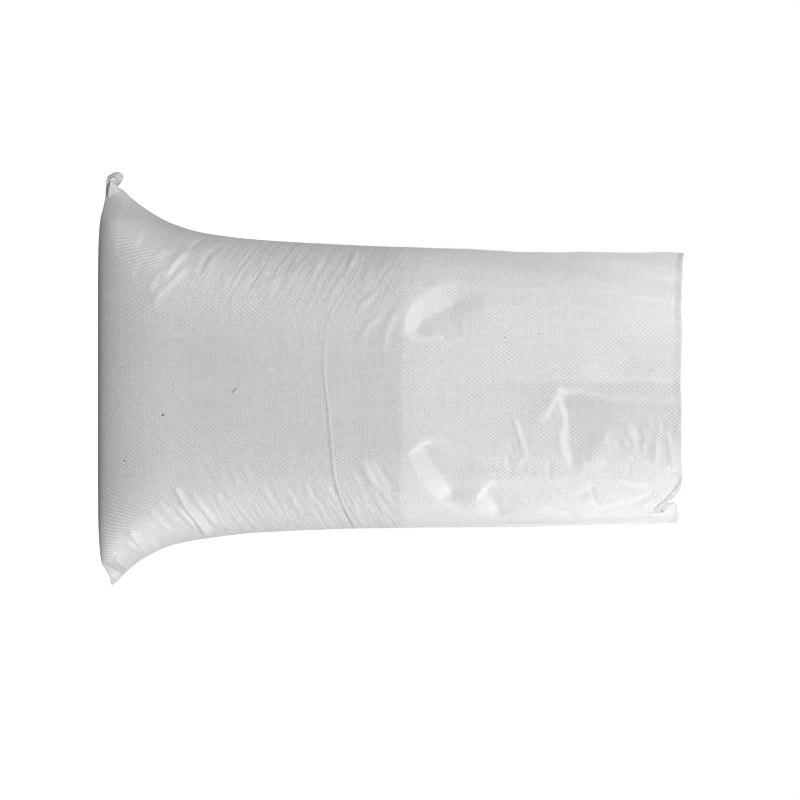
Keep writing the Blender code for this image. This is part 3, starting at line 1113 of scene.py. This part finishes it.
def sack_mesh():
    """The tube, its closed seam and the lining of its mouth."""
    shape = new_cloth()
    wide_u = np.broadcast_to(flat_u, (row_count, column_count + 1))
    rows = add_sheet(shape, cloth, wide_u, flat_v, marks, wrap=True)
    close_seam(shape, rows[0])
    facing = grid_normals(cloth)
    inner = [cloth[-1 - i] - facing[-1 - i] * share * FABRIC_THICKNESS for i, share in enumerate(LINING)]
    lining = np.concatenate([cloth[-1:], inner])
    lining_v = np.concatenate([flat_v[-1:], flat_v[:-1 - len(LINING):-1]])
    add_sheet(shape, lining, wide_u, lining_v, wrap=True)
    bmesh.ops.remove_doubles(shape, verts=shape.verts, dist=1e-7)
    return finish_mesh(shape, "sack_fabric")


def turned_mesh():
    """The lip, the ear's flap and its curl."""
    shape = new_cloth()
    for points, flip in ((lip, True), (flap, False), (curl, False), (facet, True)):
        u, v = own_lengths(points)
        add_sheet(shape, points, u, v, flip=flip)
    return finish_mesh(shape, "turned_pieces")


def hem_mesh():
    shape = new_cloth()
    closed = np.concatenate([hem, hem[:, :1]], axis=1)
    u, v = own_lengths(closed)
    rows = add_sheet(shape, hem, u, v, wrap=True)
    shape.faces.new(rows[0])
    shape.faces.new(rows[-1][::-1])
    bmesh.ops.recalc_face_normals(shape, faces=shape.faces)
    return finish_mesh(shape, "hem_strip")


def select_only(items, active):
    bpy.ops.object.select_all(action="DESELECT")
    for item in items:
        item.select_set(True)
    bpy.context.view_layer.objects.active = active


cloth[0, BACK_COLUMNS + 1:, 1] -= SEAM_HALF_GAP
cloth[0, 1:BACK_COLUMNS, 1] += SEAM_HALF_GAP
sack = sack_mesh()
turned = turned_mesh()
thick = turned.modifiers.new("fabric_thickness", "SOLIDIFY")
thick.thickness = FABRIC_THICKNESS
thick.offset = -1.0
select_only([turned], turned)
bpy.ops.object.modifier_apply(modifier=thick.name)
strip = hem_mesh()
select_only([turned, strip, sack], sack)
bpy.ops.object.join()
sack.data.calc_loop_triangles()
print("sack triangles", len(sack.data.loop_triangles))

# %% [markdown]
# ## Nodes from code
# A material is a graph of small sums. Written out node by node it would be hard to read, so a few helpers
# add one node each and give back its output: arithmetic, noise, a change of range, and a place's three parts.

# %% Node helpers


def add_math(tree, operation, first, second=None, third=None):
    node = tree.nodes.new("ShaderNodeMath")
    node.operation = operation
    for socket, value in zip(node.inputs, (first, second, third)):
        if isinstance(value, (int, float)):
            socket.default_value = value
        elif value is not None:
            tree.links.new(value, socket)
    return node.outputs["Value"]


def product(tree, first, *others):
    for value in others:
        first = add_math(tree, "MULTIPLY", first, value)
    return first


def distance_to(tree, value, middle):
    return add_math(tree, "ABSOLUTE", add_math(tree, "SUBTRACT", value, middle))


def add_noise(tree, place, scale, detail=2.0, output="Fac"):
    node = tree.nodes.new("ShaderNodeTexNoise")
    set_inputs(node, {"Scale": scale, "Detail": detail})
    tree.links.new(place, node.inputs["Vector"])
    return node.outputs[output]


def remap(tree, value, low, high, to_low=0.0, to_high=1.0):
    """Change a range into another, and hold the value inside it."""
    node = tree.nodes.new("ShaderNodeMapRange")
    tree.links.new(value, node.inputs["Value"])
    set_inputs(node, {"From Min": low, "From Max": high, "To Min": to_low, "To Max": to_high})
    return node.outputs["Result"]


def split_place(tree, place):
    node = tree.nodes.new("ShaderNodeSeparateXYZ")
    tree.links.new(place, node.inputs[0])
    return [node.outputs[name] for name in "XYZ"]


def new_group(name, inputs, outputs):
    """A node group with these inputs, each named with its kind, and these outputs, all plain values."""
    group = bpy.data.node_groups.new(name, "ShaderNodeTree")
    for socket, kind in inputs:
        group.interface.new_socket(socket, in_out="INPUT", socket_type="NodeSocket" + kind)
    for socket in outputs:
        group.interface.new_socket(socket, in_out="OUTPUT", socket_type="NodeSocketFloat")
    return group, group.nodes.new("NodeGroupInput"), group.nodes.new("NodeGroupOutput")


# %% [markdown]
# ## Weave
# The cloth is woven from flat plastic tapes, one over, one under. A node group works out from the flat places
# which tape is on top, how high it stands, and how near its edge is. Tapes that run up and tapes that run
# round shine differently, and that sheen is painted into the colour as a fine chequer of the crossings. Each
# tape also has its own tone.

# %% Weave node group
WARP_PITCH = 0.00212
WEFT_PITCH = 0.00252
TAPE_FLATNESS, EDGE_SHARPNESS = 6.0, 5.0
WARP_EDGE, WEFT_EDGE = 0.35, 1.0
FIRST_WARP_TONE, FIRST_WEFT_TONE = 0.25, 500.25


def white_noise(group, dimensions, socket, value):
    noise = group.nodes.new("ShaderNodeTexWhiteNoise")
    noise.noise_dimensions = dimensions
    group.links.new(value, noise.inputs[socket])
    return noise.outputs["Value"]


def off_tape_middle(group, inside):
    """0 at the middle of a tape and 1 at its two edges."""
    return add_math(group, "ABSOLUTE", add_math(group, "MULTIPLY_ADD", inside, 2.0, -1.0))


def tape_arch(group, inside, lengthwise):
    """A tape's height: an arch along its length and a flat top across it."""
    arch = add_math(group, "SINE", add_math(group, "MULTIPLY", lengthwise, math.pi))
    edge = add_math(group, "POWER", off_tape_middle(group, inside), TAPE_FLATNESS)
    return product(group, arch, add_math(group, "SUBTRACT", 1.0, edge))


def weave_group():
    group, enter, leave = new_group(
        "tape_weave", [("Place", "Vector"), ("Warp Pitch", "Float"), ("Weft Pitch", "Float")],
        ["Height", "Warp On Top", "Gap", "Tape Tone", "Crossing Tone"])
    x, y, _ = split_place(group, enter.outputs["Place"])
    u = add_math(group, "DIVIDE", x, enter.outputs["Warp Pitch"])
    v = add_math(group, "DIVIDE", y, enter.outputs["Weft Pitch"])
    u_tape, v_tape = add_math(group, "FLOOR", u), add_math(group, "FLOOR", v)
    u_in, v_in = add_math(group, "FRACT", u), add_math(group, "FRACT", v)
    odd = add_math(group, "FLOORED_MODULO", add_math(group, "ADD", u_tape, v_tape), 2.0)
    pick = group.nodes.new("ShaderNodeMix")
    pick.data_type = "FLOAT"
    group.links.new(odd, pick.inputs["Factor"])
    group.links.new(tape_arch(group, u_in, v_in), pick.inputs["A"])
    group.links.new(tape_arch(group, v_in, u_in), pick.inputs["B"])
    edges = [product(group, add_math(group, "POWER", off_tape_middle(group, inside), EDGE_SHARPNESS), share)
             for inside, share in ((u_in, WARP_EDGE), (v_in, WEFT_EDGE))]
    tones = [white_noise(group, "1D", "W", add_math(group, "ADD", tape, start))
             for tape, start in ((u_tape, FIRST_WARP_TONE), (v_tape, FIRST_WEFT_TONE))]
    cell = group.nodes.new("ShaderNodeCombineXYZ")
    for tape, axis in ((u_tape, "X"), (v_tape, "Y")):
        group.links.new(add_math(group, "ADD", tape, 0.5), cell.inputs[axis])
    results = {
        "Height": pick.outputs["Result"],
        "Warp On Top": add_math(group, "SUBTRACT", 1.0, odd),
        "Gap": add_math(group, "MAXIMUM", *edges),
        "Tape Tone": product(group, add_math(group, "ADD", *tones), 0.5),
        "Crossing Tone": white_noise(group, "2D", "Vector", cell.outputs["Vector"]),
    }
    for name, value in results.items():
        group.links.new(value, leave.inputs[name])
    return group


tape_weave = weave_group()
print("weave group", len(tape_weave.nodes), "nodes")

# %% [markdown]
# ## Specks
# A few dark grains and one short hair lie on the front. Each is an ellipse around a place seen from the
# front, with its length, width and turn, and the group puts them all into one mask.

# %% Speck node group
SPECKS = [
    (36, 52, 1.6, 0.8, 119), (11.5, 124, 3.6, 0.4, 139), (82, 13, 0.8, 0.7, 0), (-12, 11, 0.5, 0.6, 0),
    (5, 62, 0.5, 0.5, 0), (77, 42, 0.6, 0.5, 0), (68, 83, 0.4, 0.4, 0), (24, 7, 0.5, 0.5, 0),
    (-42, 395, 0.8, 0.45, 90), (-37, 396, 0.5, 0.5, 0), (-45, 429, 0.5, 0.5, 0), (7, 33, 0.4, 0.4, 0),
]
SPECK_DEPTH = -140
FRONT_Y = -0.02
SPECK_FULL, SPECK_GONE = 0.5, 1.4


def speck_size(group, x, z, speck):
    """Squared distance from a speck's middle, where 1 is its edge."""
    a, b, length, width, turn = speck
    place_x, _, place_z = placed(a, b, SPECK_DEPTH)
    c, s = math.cos(math.radians(turn)), math.sin(math.radians(turn))
    dx, dz = add_math(group, "SUBTRACT", x, place_x), add_math(group, "SUBTRACT", z, place_z)
    long_x, long_z = product(group, dx, c / (length * MM)), product(group, dz, s / (length * MM))
    wide_x, wide_z = product(group, dx, s / (width * MM)), product(group, dz, c / (width * MM))
    lengthwise, across = add_math(group, "ADD", long_x, long_z), add_math(group, "SUBTRACT", wide_z, wide_x)
    return add_math(group, "ADD", product(group, lengthwise, lengthwise), product(group, across, across))


def speck_group():
    group, enter, leave = new_group("dark_specks", [("Place", "Vector")], ["Mask"])
    x, y, z = split_place(group, enter.outputs["Place"])
    nearest = speck_size(group, x, z, SPECKS[0])
    for speck in SPECKS[1:]:
        nearest = add_math(group, "MINIMUM", nearest, speck_size(group, x, z, speck))
    inside = remap(group, nearest, SPECK_FULL, SPECK_GONE, 1.0, 0.0)
    front = add_math(group, "LESS_THAN", y, FRONT_Y)
    group.links.new(product(group, inside, front), leave.inputs["Mask"])
    return group


dark_specks = speck_group()
print("specks", len(SPECKS))

# %% [markdown]
# ## The ring
# A ring runs round the sack where it was folded in its bale. It is only a millimetre or two wide, too narrow
# for the grid, so it is a height that a Bump node reads. Its place across the front is a curve through a few
# measured points, which a Float Curve node holds as shares from 0 to 1.

# %% Height of the ring
RING = [
    (-118, 251), (-104, 246), (-84, 232), (-62, 220), (-46, 216),
    (-18, 214), (36, 219), (102, 226), (139, 240), (150, 247),
]
RING_HALF = 0.0024
RING_DEPTH_MM, RING_REACH_MM = -135, 150
RING_LOW, RING_HIGH = 0.19, 0.26
RING_FAINT, RING_FAINT_FROM, RING_FULL_FROM = 0.3, -0.04, 0.05


def float_curve(tree, value, points):
    """A curve through points from 0 to 1 on both axes."""
    node = tree.nodes.new("ShaderNodeFloatCurve")
    curve = node.mapping.curves[0]
    curve.points[0].location = points[0]
    curve.points[1].location = points[-1]
    for x, y in points[1:-1]:
        curve.points.new(x, y)
    node.mapping.update()
    tree.links.new(value, node.inputs["Value"])
    return node.outputs["Value"]


def ring_place(a, b):
    """Across and up in metres, with the depth of a round front."""
    x, _, z = placed(a, b, RING_DEPTH_MM * math.sqrt(max(1 - (a / RING_REACH_MM) ** 2, 0.0)))
    return x, z


def ring_height(group, x, z):
    ring = [ring_place(a, b) for a, b in RING]
    low_x, high_x = ring[0][0], ring[-1][0]
    points = [((px - low_x) / (high_x - low_x), (pz - RING_LOW) / (RING_HIGH - RING_LOW)) for px, pz in ring]
    curve = float_curve(group, remap(group, x, low_x, high_x), points)
    line = remap(group, curve, 0.0, 1.0, RING_LOW, RING_HIGH)
    crest = remap(group, distance_to(group, z, line), 0.0, RING_HALF, 1.0, 0.0)
    return product(group, crest, remap(group, x, RING_FAINT_FROM, RING_FULL_FROM, RING_FAINT, 1.0))


# %% [markdown]
# ## Fine wrinkles
# The finest wrinkles of the taut part are bump as well. Rows of them leave both sides and run down and
# inwards: thin bands where a noise, drawn out along their direction, passes its middle.

# %% Wrinkle node group
WRINKLE_LEAN = 0.52
WRINKLE_SPACING, WRINKLE_LENGTH = 0.010, 0.05
WRINKLE_BAND = 0.16


def wrinkle_group():
    group, enter, leave = new_group("fine_wrinkles", [("Place", "Vector")], ["Side Height", "Ring Height"])
    x, y, z = split_place(group, enter.outputs["Place"])
    off_middle = add_math(group, "SUBTRACT", x, BODY_X)
    side = add_math(group, "ABSOLUTE", off_middle)
    place = group.nodes.new("ShaderNodeCombineXYZ")
    leaning = add_math(group, "MULTIPLY_ADD", side, -WRINKLE_LEAN, z)
    group.links.new(add_math(group, "DIVIDE", leaning, WRINKLE_SPACING), place.inputs["X"])
    group.links.new(add_math(group, "DIVIDE", side, WRINKLE_LENGTH), place.inputs["Y"])
    group.links.new(add_math(group, "SIGN", off_middle), place.inputs["Z"])
    waves = add_noise(group, place.outputs["Vector"], 1.0, 1.0)
    crest = remap(group, distance_to(group, waves, 0.5), 0.0, WRINKLE_BAND, 1.0, 0.0)
    outer = remap(group, side, 0.055, 0.105)
    taut = product(group, remap(group, z, 0.06, 0.11), remap(group, z, 0.28, 0.31, 1.0, 0.0))
    front = add_math(group, "LESS_THAN", y, 0.0)
    group.links.new(product(group, crest, outer, taut), leave.inputs["Side Height"])
    group.links.new(product(group, ring_height(group, x, z), front), leave.inputs["Ring Height"])
    return group


fine_wrinkles = wrinkle_group()
print("wrinkle group", len(fine_wrinkles.nodes), "nodes")

# %% [markdown]
# ## Tones of the fabric
# The chequer of the crossings is painted sheen. It shows most where the tape is creased or slanted, so its
# contrast grows away from the body's middle, above the powder and in the ears. Painted shade darkens a band
# of the loose part and greys the cloth at the left ear. All these are one grey factor, which multiplies the
# colour.

# %% Grey factor of the tapes
# Painted shade: a darker band on the loose part and greyer cloth at the left ear.
SHADE_BAND_TONE, EAR_SHADE_TONE = 0.91, 0.94
# Painted sheen: the contrast of the crossings' chequer in the colour.
PLAIN_SHEEN_CHEQUER, GRAZED_SHEEN_CHEQUER, EAR_SHEEN_CHEQUER = 0.06, 0.21, 0.12
OPEN_TONE, GAP_TONE = 1.03, 0.80


def use_group(tree, group, place):
    node = tree.nodes.new("ShaderNodeGroup")
    node.node_tree = group
    tree.links.new(place, node.inputs["Place"])
    return node


# Painted sheen: the chequer is stronger where the cloth is seen at a slant, above the powder and in the ears.
def chequer_sheen_contrast(tree, uv, off_middle, z):
    patchy = remap(tree, add_noise(tree, uv, 26.0), 0.35, 0.65, 0.25, 1.0)
    above = remap(tree, z, 0.285, 0.33, 0.0, 0.8)
    grazed = add_math(tree, "MAXIMUM", remap(tree, off_middle, 0.02, 0.08), above)
    contrast = product(tree, patchy, remap(tree, grazed, 0.0, 1.0, PLAIN_SHEEN_CHEQUER, GRAZED_SHEEN_CHEQUER))
    in_ear = product(tree, remap(tree, off_middle, 0.09, 0.13), remap(tree, z, 0.06, 0.10, 1.0, 0.0))
    return add_math(tree, "MULTIPLY_ADD", in_ear, EAR_SHEEN_CHEQUER, contrast)


def painted_shade_band_and_ear(tree, x, z):
    # Painted shade: a darker band on the loose part, just right of the middle, above the powder.
    shade_band = product(tree, remap(tree, x, 0.002, 0.006), remap(tree, x, 0.075, 0.020),
                      remap(tree, z, 0.34, 0.45))
    # Painted shade: the cloth is greyer at the left ear, low down near the floor.
    ear_shade = product(tree, remap(tree, x, -0.08, -0.12), remap(tree, x, -0.175, -0.145),
                    remap(tree, z, 0.08, 0.12, 1.0, 0.0))
    return remap(tree, shade_band, 0.0, 1.0, 1.0, SHADE_BAND_TONE), remap(tree, ear_shade, 0.0, 1.0, 1.0, EAR_SHADE_TONE)


def tape_shade(tree, uv, place, weave):
    x, _, z = split_place(tree, place)
    off_middle = distance_to(tree, x, BODY_X)
    tone = remap(tree, weave.outputs["Tape Tone"], 0.0, 1.0, 0.975, 1.01)
    cloudy = remap(tree, add_noise(tree, place, 9.0, 4.0), 0.3, 0.7, 0.985, 1.01)
    on_top = add_math(tree, "SUBTRACT", weave.outputs["Warp On Top"], 0.5)
    # Painted sheen: crossings with the upright tape on top are painted lighter.
    sheen_chequer = add_math(tree, "MULTIPLY_ADD", on_top, chequer_sheen_contrast(tree, uv, off_middle, z), 0.99)
    gap = remap(tree, weave.outputs["Gap"], 0.0, 1.0, OPEN_TONE, GAP_TONE)
    crossing = remap(tree, weave.outputs["Crossing Tone"], 0.0, 1.0, 0.955, 1.045)
    return product(tree, tone, *painted_shade_band_and_ear(tree, x, z), cloudy, sheen_chequer, gap, crossing)


# %% [markdown]
# ## Colour of the fabric
# Where powder backs the cloth, no light comes through it, so painted shade makes the cloth greyer below the
# powder's level, and the level shows as an uneven line that climbs a little at the left side. Creased tape
# turns whiter, so the marks kept on the mesh lighten it; they also hold painted highlights on slopes that
# face the mouth and on the turned-back front. The specks go on last.

# %% Colours
CLOTH_WHITE = (0.87, 0.87, 0.87, 1.0)
# Painted shade: the cloth is a darker grey below the powder's level, where no light comes through it.
CLOTH_SHADED_BY_POWDER = (0.83, 0.83, 0.83, 1.0)
# Partly real whitening, partly painted highlight.
CREASE_AND_HIGHLIGHT_WHITE = (0.95, 0.95, 0.95, 1.0)
SPECK_COLOUR = (0.05, 0.05, 0.05, 1.0)
LEVEL_UNEVEN = 0.0015
BANK_HEIGHT = 0.022


def mix_colours(tree, factor, first, second, blend="MIX"):
    node = tree.nodes.new("ShaderNodeMix")
    node.data_type = "RGBA"
    node.blend_type = blend
    for name, value in (("Factor", factor), ("A", first), ("B", second)):
        if isinstance(value, (int, float, tuple)):
            node.inputs[name].default_value = value
        else:
            tree.links.new(value, node.inputs[name])
    return node.outputs["Result"]


def grey(tree, value):
    node = tree.nodes.new("ShaderNodeCombineColor")
    for name in ("Red", "Green", "Blue"):
        tree.links.new(value, node.inputs[name])
    return node.outputs["Color"]


def backed_by_powder(tree, place):
    x, _, z = split_place(tree, place)
    uneven = remap(tree, add_noise(tree, place, 60.0, 3.0), 0.3, 0.7, -LEVEL_UNEVEN, LEVEL_UNEVEN)
    bank = remap(tree, x, -0.055, -0.125, 0.0, BANK_HEIGHT)
    level = add_math(tree, "SUBTRACT", add_math(tree, "ADD", z, uneven), bank)
    return remap(tree, level, POWDER_LEVEL - 0.003, POWDER_LEVEL + 0.001, 1.0, 0.0)


def fabric_colour(tree, uv, place, weave, crease_and_highlight):
    # Painted shade below the powder's level.
    colour = mix_colours(tree, backed_by_powder(tree, place), CLOTH_WHITE, CLOTH_SHADED_BY_POWDER)
    colour = mix_colours(tree, 1.0, colour, grey(tree, tape_shade(tree, uv, place, weave)), "MULTIPLY")
    # Painted highlight, partly real whitening: the marks lighten creases, slopes facing the mouth and the
    # turned-back front.
    colour = mix_colours(tree, remap(tree, crease_and_highlight, 0.1, 0.8, 0.0, 0.6), colour, CREASE_AND_HIGHLIGHT_WHITE)
    specks = use_group(tree, dark_specks, place)
    return mix_colours(tree, specks.outputs["Mask"], colour, SPECK_COLOUR)


# %% [markdown]
# ## Fabric material
# White tape lets some light through, so the fabric is a mix of a slightly glossy surface and a translucent
# one. Creases are a little glossier, which is a thin coat. The weave, the wrinkles and the ring are three
# bumps in a row, each laid over the one before.

# %% Fabric material
THROUGH_SHARE = 0.25
SHINE = {"Specular IOR Level": 0.35, "Coat Roughness": 0.35}
CREASE_COAT = 0.25
WEAVE_DEPTH, WEAVE_STRENGTH = 0.0002, 0.9
WRINKLE_DEPTH, RING_DEPTH = 0.0005, 0.0009


def wander(tree, place, scale, reach):
    """Shift a place by smooth noise, so that the tapes are never quite straight or even."""
    centred = tree.nodes.new("ShaderNodeVectorMath")
    centred.operation = "SUBTRACT"
    centred.inputs[1].default_value = (0.5, 0.5, 0.5)
    tree.links.new(add_noise(tree, place, scale, 3.0, output="Color"), centred.inputs[0])
    shifted = tree.nodes.new("ShaderNodeVectorMath")
    shifted.operation = "MULTIPLY_ADD"
    shifted.inputs[1].default_value = (reach, reach, 0.0)
    tree.links.new(centred.outputs["Vector"], shifted.inputs[0])
    tree.links.new(place, shifted.inputs[2])
    return shifted.outputs["Vector"]


def add_bump(tree, height, distance, strength=1.0, under=None):
    """A bump, laid over the one whose normal is given."""
    bump = tree.nodes.new("ShaderNodeBump")
    set_inputs(bump, {"Distance": distance, "Strength": strength})
    tree.links.new(height, bump.inputs["Height"])
    if under is not None:
        tree.links.new(under, bump.inputs["Normal"])
    return bump.outputs["Normal"]


def fabric_material():
    material, tree, shader = new_material("white_woven_tape")
    nodes, links = tree.nodes, tree.links
    uv_map = nodes.new("ShaderNodeUVMap")
    uv_map.uv_map = "flat_cloth"
    uv = uv_map.outputs["UV"]
    place = nodes.new("ShaderNodeTexCoord").outputs["Object"]
    attribute = nodes.new("ShaderNodeAttribute")
    attribute.attribute_name = "crease_and_highlight"
    crease_and_highlight = attribute.outputs["Fac"]
    weave = use_group(tree, tape_weave, wander(tree, wander(tree, uv, 14.0, 0.005), 110.0, 0.0010))
    set_inputs(weave, {"Warp Pitch": WARP_PITCH, "Weft Pitch": WEFT_PITCH})
    colour = fabric_colour(tree, uv, place, weave, crease_and_highlight)
    links.new(colour, shader.inputs["Base Color"])
    gloss = remap(tree, add_noise(tree, uv, 420.0), 0.2, 0.8, 0.34, 0.50)
    links.new(gloss, shader.inputs["Roughness"])
    links.new(remap(tree, crease_and_highlight, 0.25, 0.9, 0.0, CREASE_COAT), shader.inputs["Coat Weight"])
    set_inputs(shader, SHINE)
    wrinkles = use_group(tree, fine_wrinkles, place)
    normal = add_bump(tree, weave.outputs["Height"], WEAVE_DEPTH, WEAVE_STRENGTH)
    normal = add_bump(tree, wrinkles.outputs["Side Height"], WRINKLE_DEPTH, under=normal)
    normal = add_bump(tree, wrinkles.outputs["Ring Height"], RING_DEPTH, under=normal)
    links.new(normal, shader.inputs["Normal"])
    through = nodes.new("ShaderNodeBsdfTranslucent")
    links.new(colour, through.inputs["Color"])
    mix = nodes.new("ShaderNodeMixShader")
    mix.inputs["Fac"].default_value = THROUGH_SHARE
    links.new(shader.outputs["BSDF"], mix.inputs[1])
    links.new(through.outputs["BSDF"], mix.inputs[2])
    links.new(mix.outputs["Shader"], nodes["Material Output"].inputs["Surface"])
    return material


sack.data.materials.clear()
sack.data.materials.append(fabric_material())
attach(sack, "root")
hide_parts("woven_sack")
print("fabric shader", len(sack.data.materials[0].node_tree.nodes), "nodes")

# %% [markdown]
# ## Cement powder
# Dry cement settles almost level, with a soft lumpy surface. Its sides follow the cloth, a little inside it,
# and its top is a round grid that small mounds and lumps raise and lower.

# %% Shape of the powder
POWDER_TOP_RINGS = 44
POWDER_INSET, POWDER_STEP = 0.0024, 2
MOUND = 0.0045
TOP_BELOW_LEVEL = 0.0012


def powder_height(x, y):
    """Height of the powder's surface above or below its level, in metres."""
    broad_wave = 0.55 * np.sin(31 * x + 0.7) * np.cos(27 * y - 0.4) + 0.3 * np.sin(58 * x - 44 * y + 1.9)
    lumps = 0.12 * np.sin(190 * x + 1.1) * np.sin(173 * y + 0.6)
    grains = 0.08 * np.sin(330 * x - 120 * y) * np.cos(290 * y)
    return MOUND * 0.5 * (broad_wave + (lumps + grains))


def skin(shape, rows):
    """Quads between each closed row of vertices and the next."""
    for lower, upper in zip(rows, rows[1:]):
        for c in range(len(lower)):
            d = (c + 1) % len(lower)
            shape.faces.new((lower[c], lower[d], upper[d], upper[c])).smooth = True


def powder_mesh():
    rows = powder_rows(POWDER_INSET, POWDER_STEP)
    rim = rows[-1]
    for share in np.linspace(0, 1, POWDER_TOP_RINGS, endpoint=False)[1:]:
        flat = rim[:, :2] * (1 - share) + np.array([BODY_X, 0.0]) * share
        lift = powder_height(flat[:, 0], flat[:, 1]) * ease(0.0, 0.12, share) - TOP_BELOW_LEVEL
        rows.append(np.column_stack([flat, rim[:, 2] + lift]))
    shape = bmesh.new()
    made = [[shape.verts.new(p) for p in row] for row in rows]
    skin(shape, made)
    shape.faces.new(made[0][::-1])
    middle_z = POWDER_LEVEL - TOP_BELOW_LEVEL + float(powder_height(BODY_X, 0.0))
    middle = shape.verts.new((BODY_X, 0.0, middle_z))
    last = made[-1]
    for here, after in zip(last, last[1:] + last[:1]):
        shape.faces.new((here, after, middle)).smooth = True
    return finish_mesh(shape, "cement_powder")


powder = powder_mesh()
print("powder", len(powder.data.polygons), "faces")

# %% [markdown]
# ## The powder's finish
# Cement powder is matt and nearly even in colour. Three noises give it patches, grains and small lumps, and
# they stay sharp at any distance, which a picture of powder would not.

# %% Powder material
POWDER_DARK, POWDER_PALE = (0.27, 0.27, 0.26, 1.0), (0.36, 0.36, 0.34, 1.0)
POWDER_BUMP = 0.0012


def powder_material():
    material, tree, shader = new_material("grey_powder")
    place = tree.nodes.new("ShaderNodeTexCoord").outputs["Object"]
    patches = add_noise(tree, place, 22.0, 4.0)
    grains = add_noise(tree, place, 900.0, 3.0)
    lumps = add_noise(tree, place, 140.0, 4.0)
    colour = mix_colours(tree, remap(tree, patches, 0.3, 0.7), POWDER_DARK, POWDER_PALE)
    colour = mix_colours(tree, 0.35, colour, grey(tree, grains), "OVERLAY")
    tree.links.new(colour, shader.inputs["Base Color"])
    tree.links.new(remap(tree, grains, 0.0, 1.0, 0.88, 1.0), shader.inputs["Roughness"])
    height = add_math(tree, "MULTIPLY_ADD", grains, 0.3, lumps)
    tree.links.new(add_bump(tree, height, POWDER_BUMP), shader.inputs["Normal"])
    return material


powder.data.materials.append(powder_material())
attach(powder, "root")
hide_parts("cement_fill")
print("powder shader", len(powder.data.materials[0].node_tree.nodes), "nodes")

# %% [markdown]
# ## Stitches
# The hem is closed with a chain stitch. On the underside each stitch shows as a slim loop of thread that
# starts inside the one before it.

# %% Chain stitches
STITCH_FROM, STITCH_TO = -0.178, 0.180
STITCH_PITCH = 0.0060
LOOP_LENGTH = 0.0078
LOOP_HALF_WIDTH = 0.0007
LOOP_HEIGHT, LOOP_TILT = 0.00032, 0.00012
THREAD_RADIUS = 0.00027
SEAM_Y = 0.0080


def around_once(count):
    return [2 * math.pi * index / count for index in range(count)]


def loop_ring(middle_x):
    """Centre line of one stitch loop, wider and higher at its far end."""
    ring = []
    for angle in around_once(14):
        width = LOOP_HALF_WIDTH * (0.75 + 0.35 * math.cos(angle))
        x = middle_x + LOOP_LENGTH / 2 * math.cos(angle)
        ring.append((x, SEAM_Y + width * math.sin(angle), LOOP_HEIGHT + LOOP_TILT * math.cos(angle)))
    return bend_ears(np.array(ring))


def add_tube_ring(shape, ring):
    """A closed tube along a closed centre line that lies almost flat."""
    rows = []
    for index, middle in enumerate(ring):
        ahead = ring[(index + 1) % len(ring)] - ring[index - 1]
        ahead = ahead / np.linalg.norm(ahead)
        side = np.cross(ahead, (0.0, 0.0, 1.0))
        side = side / np.linalg.norm(side)
        up = np.cross(side, ahead)
        offsets = [THREAD_RADIUS * (math.cos(turn) * side + math.sin(turn) * up) for turn in around_once(6)]
        rows.append([shape.verts.new(middle + offset) for offset in offsets])
    skin(shape, rows + rows[:1])


def stitch_mesh():
    shape = bmesh.new()
    for x in np.arange(STITCH_FROM + LOOP_LENGTH / 2, STITCH_TO - LOOP_LENGTH / 2, STITCH_PITCH):
        add_tube_ring(shape, loop_ring(x))
    bmesh.ops.recalc_face_normals(shape, faces=shape.faces)
    return finish_mesh(shape, "hem_stitches")


stitches = stitch_mesh()
print("stitches", len(stitches.data.polygons), "faces")

# %% [markdown]
# ## The thread's finish
# Sewing thread is spun from fibres. Slanting bands of a wave texture stand for its twist, both as colour and
# as bump, which is enough for a thread half a millimetre thick.

# %% Thread material
THREAD_DARK, THREAD_PALE = (0.70, 0.69, 0.66, 1.0), (0.86, 0.85, 0.82, 1.0)
THREAD_BUMP = 0.0001


def thread_material():
    material, tree, shader = new_material("spun_thread")
    place = tree.nodes.new("ShaderNodeTexCoord").outputs["Object"]
    wave = tree.nodes.new("ShaderNodeTexWave")
    wave.bands_direction = "DIAGONAL"
    wave.inputs["Scale"].default_value = 900.0
    tree.links.new(place, wave.inputs["Vector"])
    twist = wave.outputs["Fac"]
    tree.links.new(mix_colours(tree, twist, THREAD_DARK, THREAD_PALE), shader.inputs["Base Color"])
    fuzz = remap(tree, add_noise(tree, place, 400.0), 0.2, 0.8, 0.55, 0.75)
    tree.links.new(fuzz, shader.inputs["Roughness"])
    tree.links.new(add_bump(tree, twist, THREAD_BUMP), shader.inputs["Normal"])
    return material


stitches.data.materials.append(thread_material())
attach(stitches, "root")
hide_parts("bottom_stitching")
print("thread shader", len(stitches.data.materials[0].node_tree.nodes), "nodes")
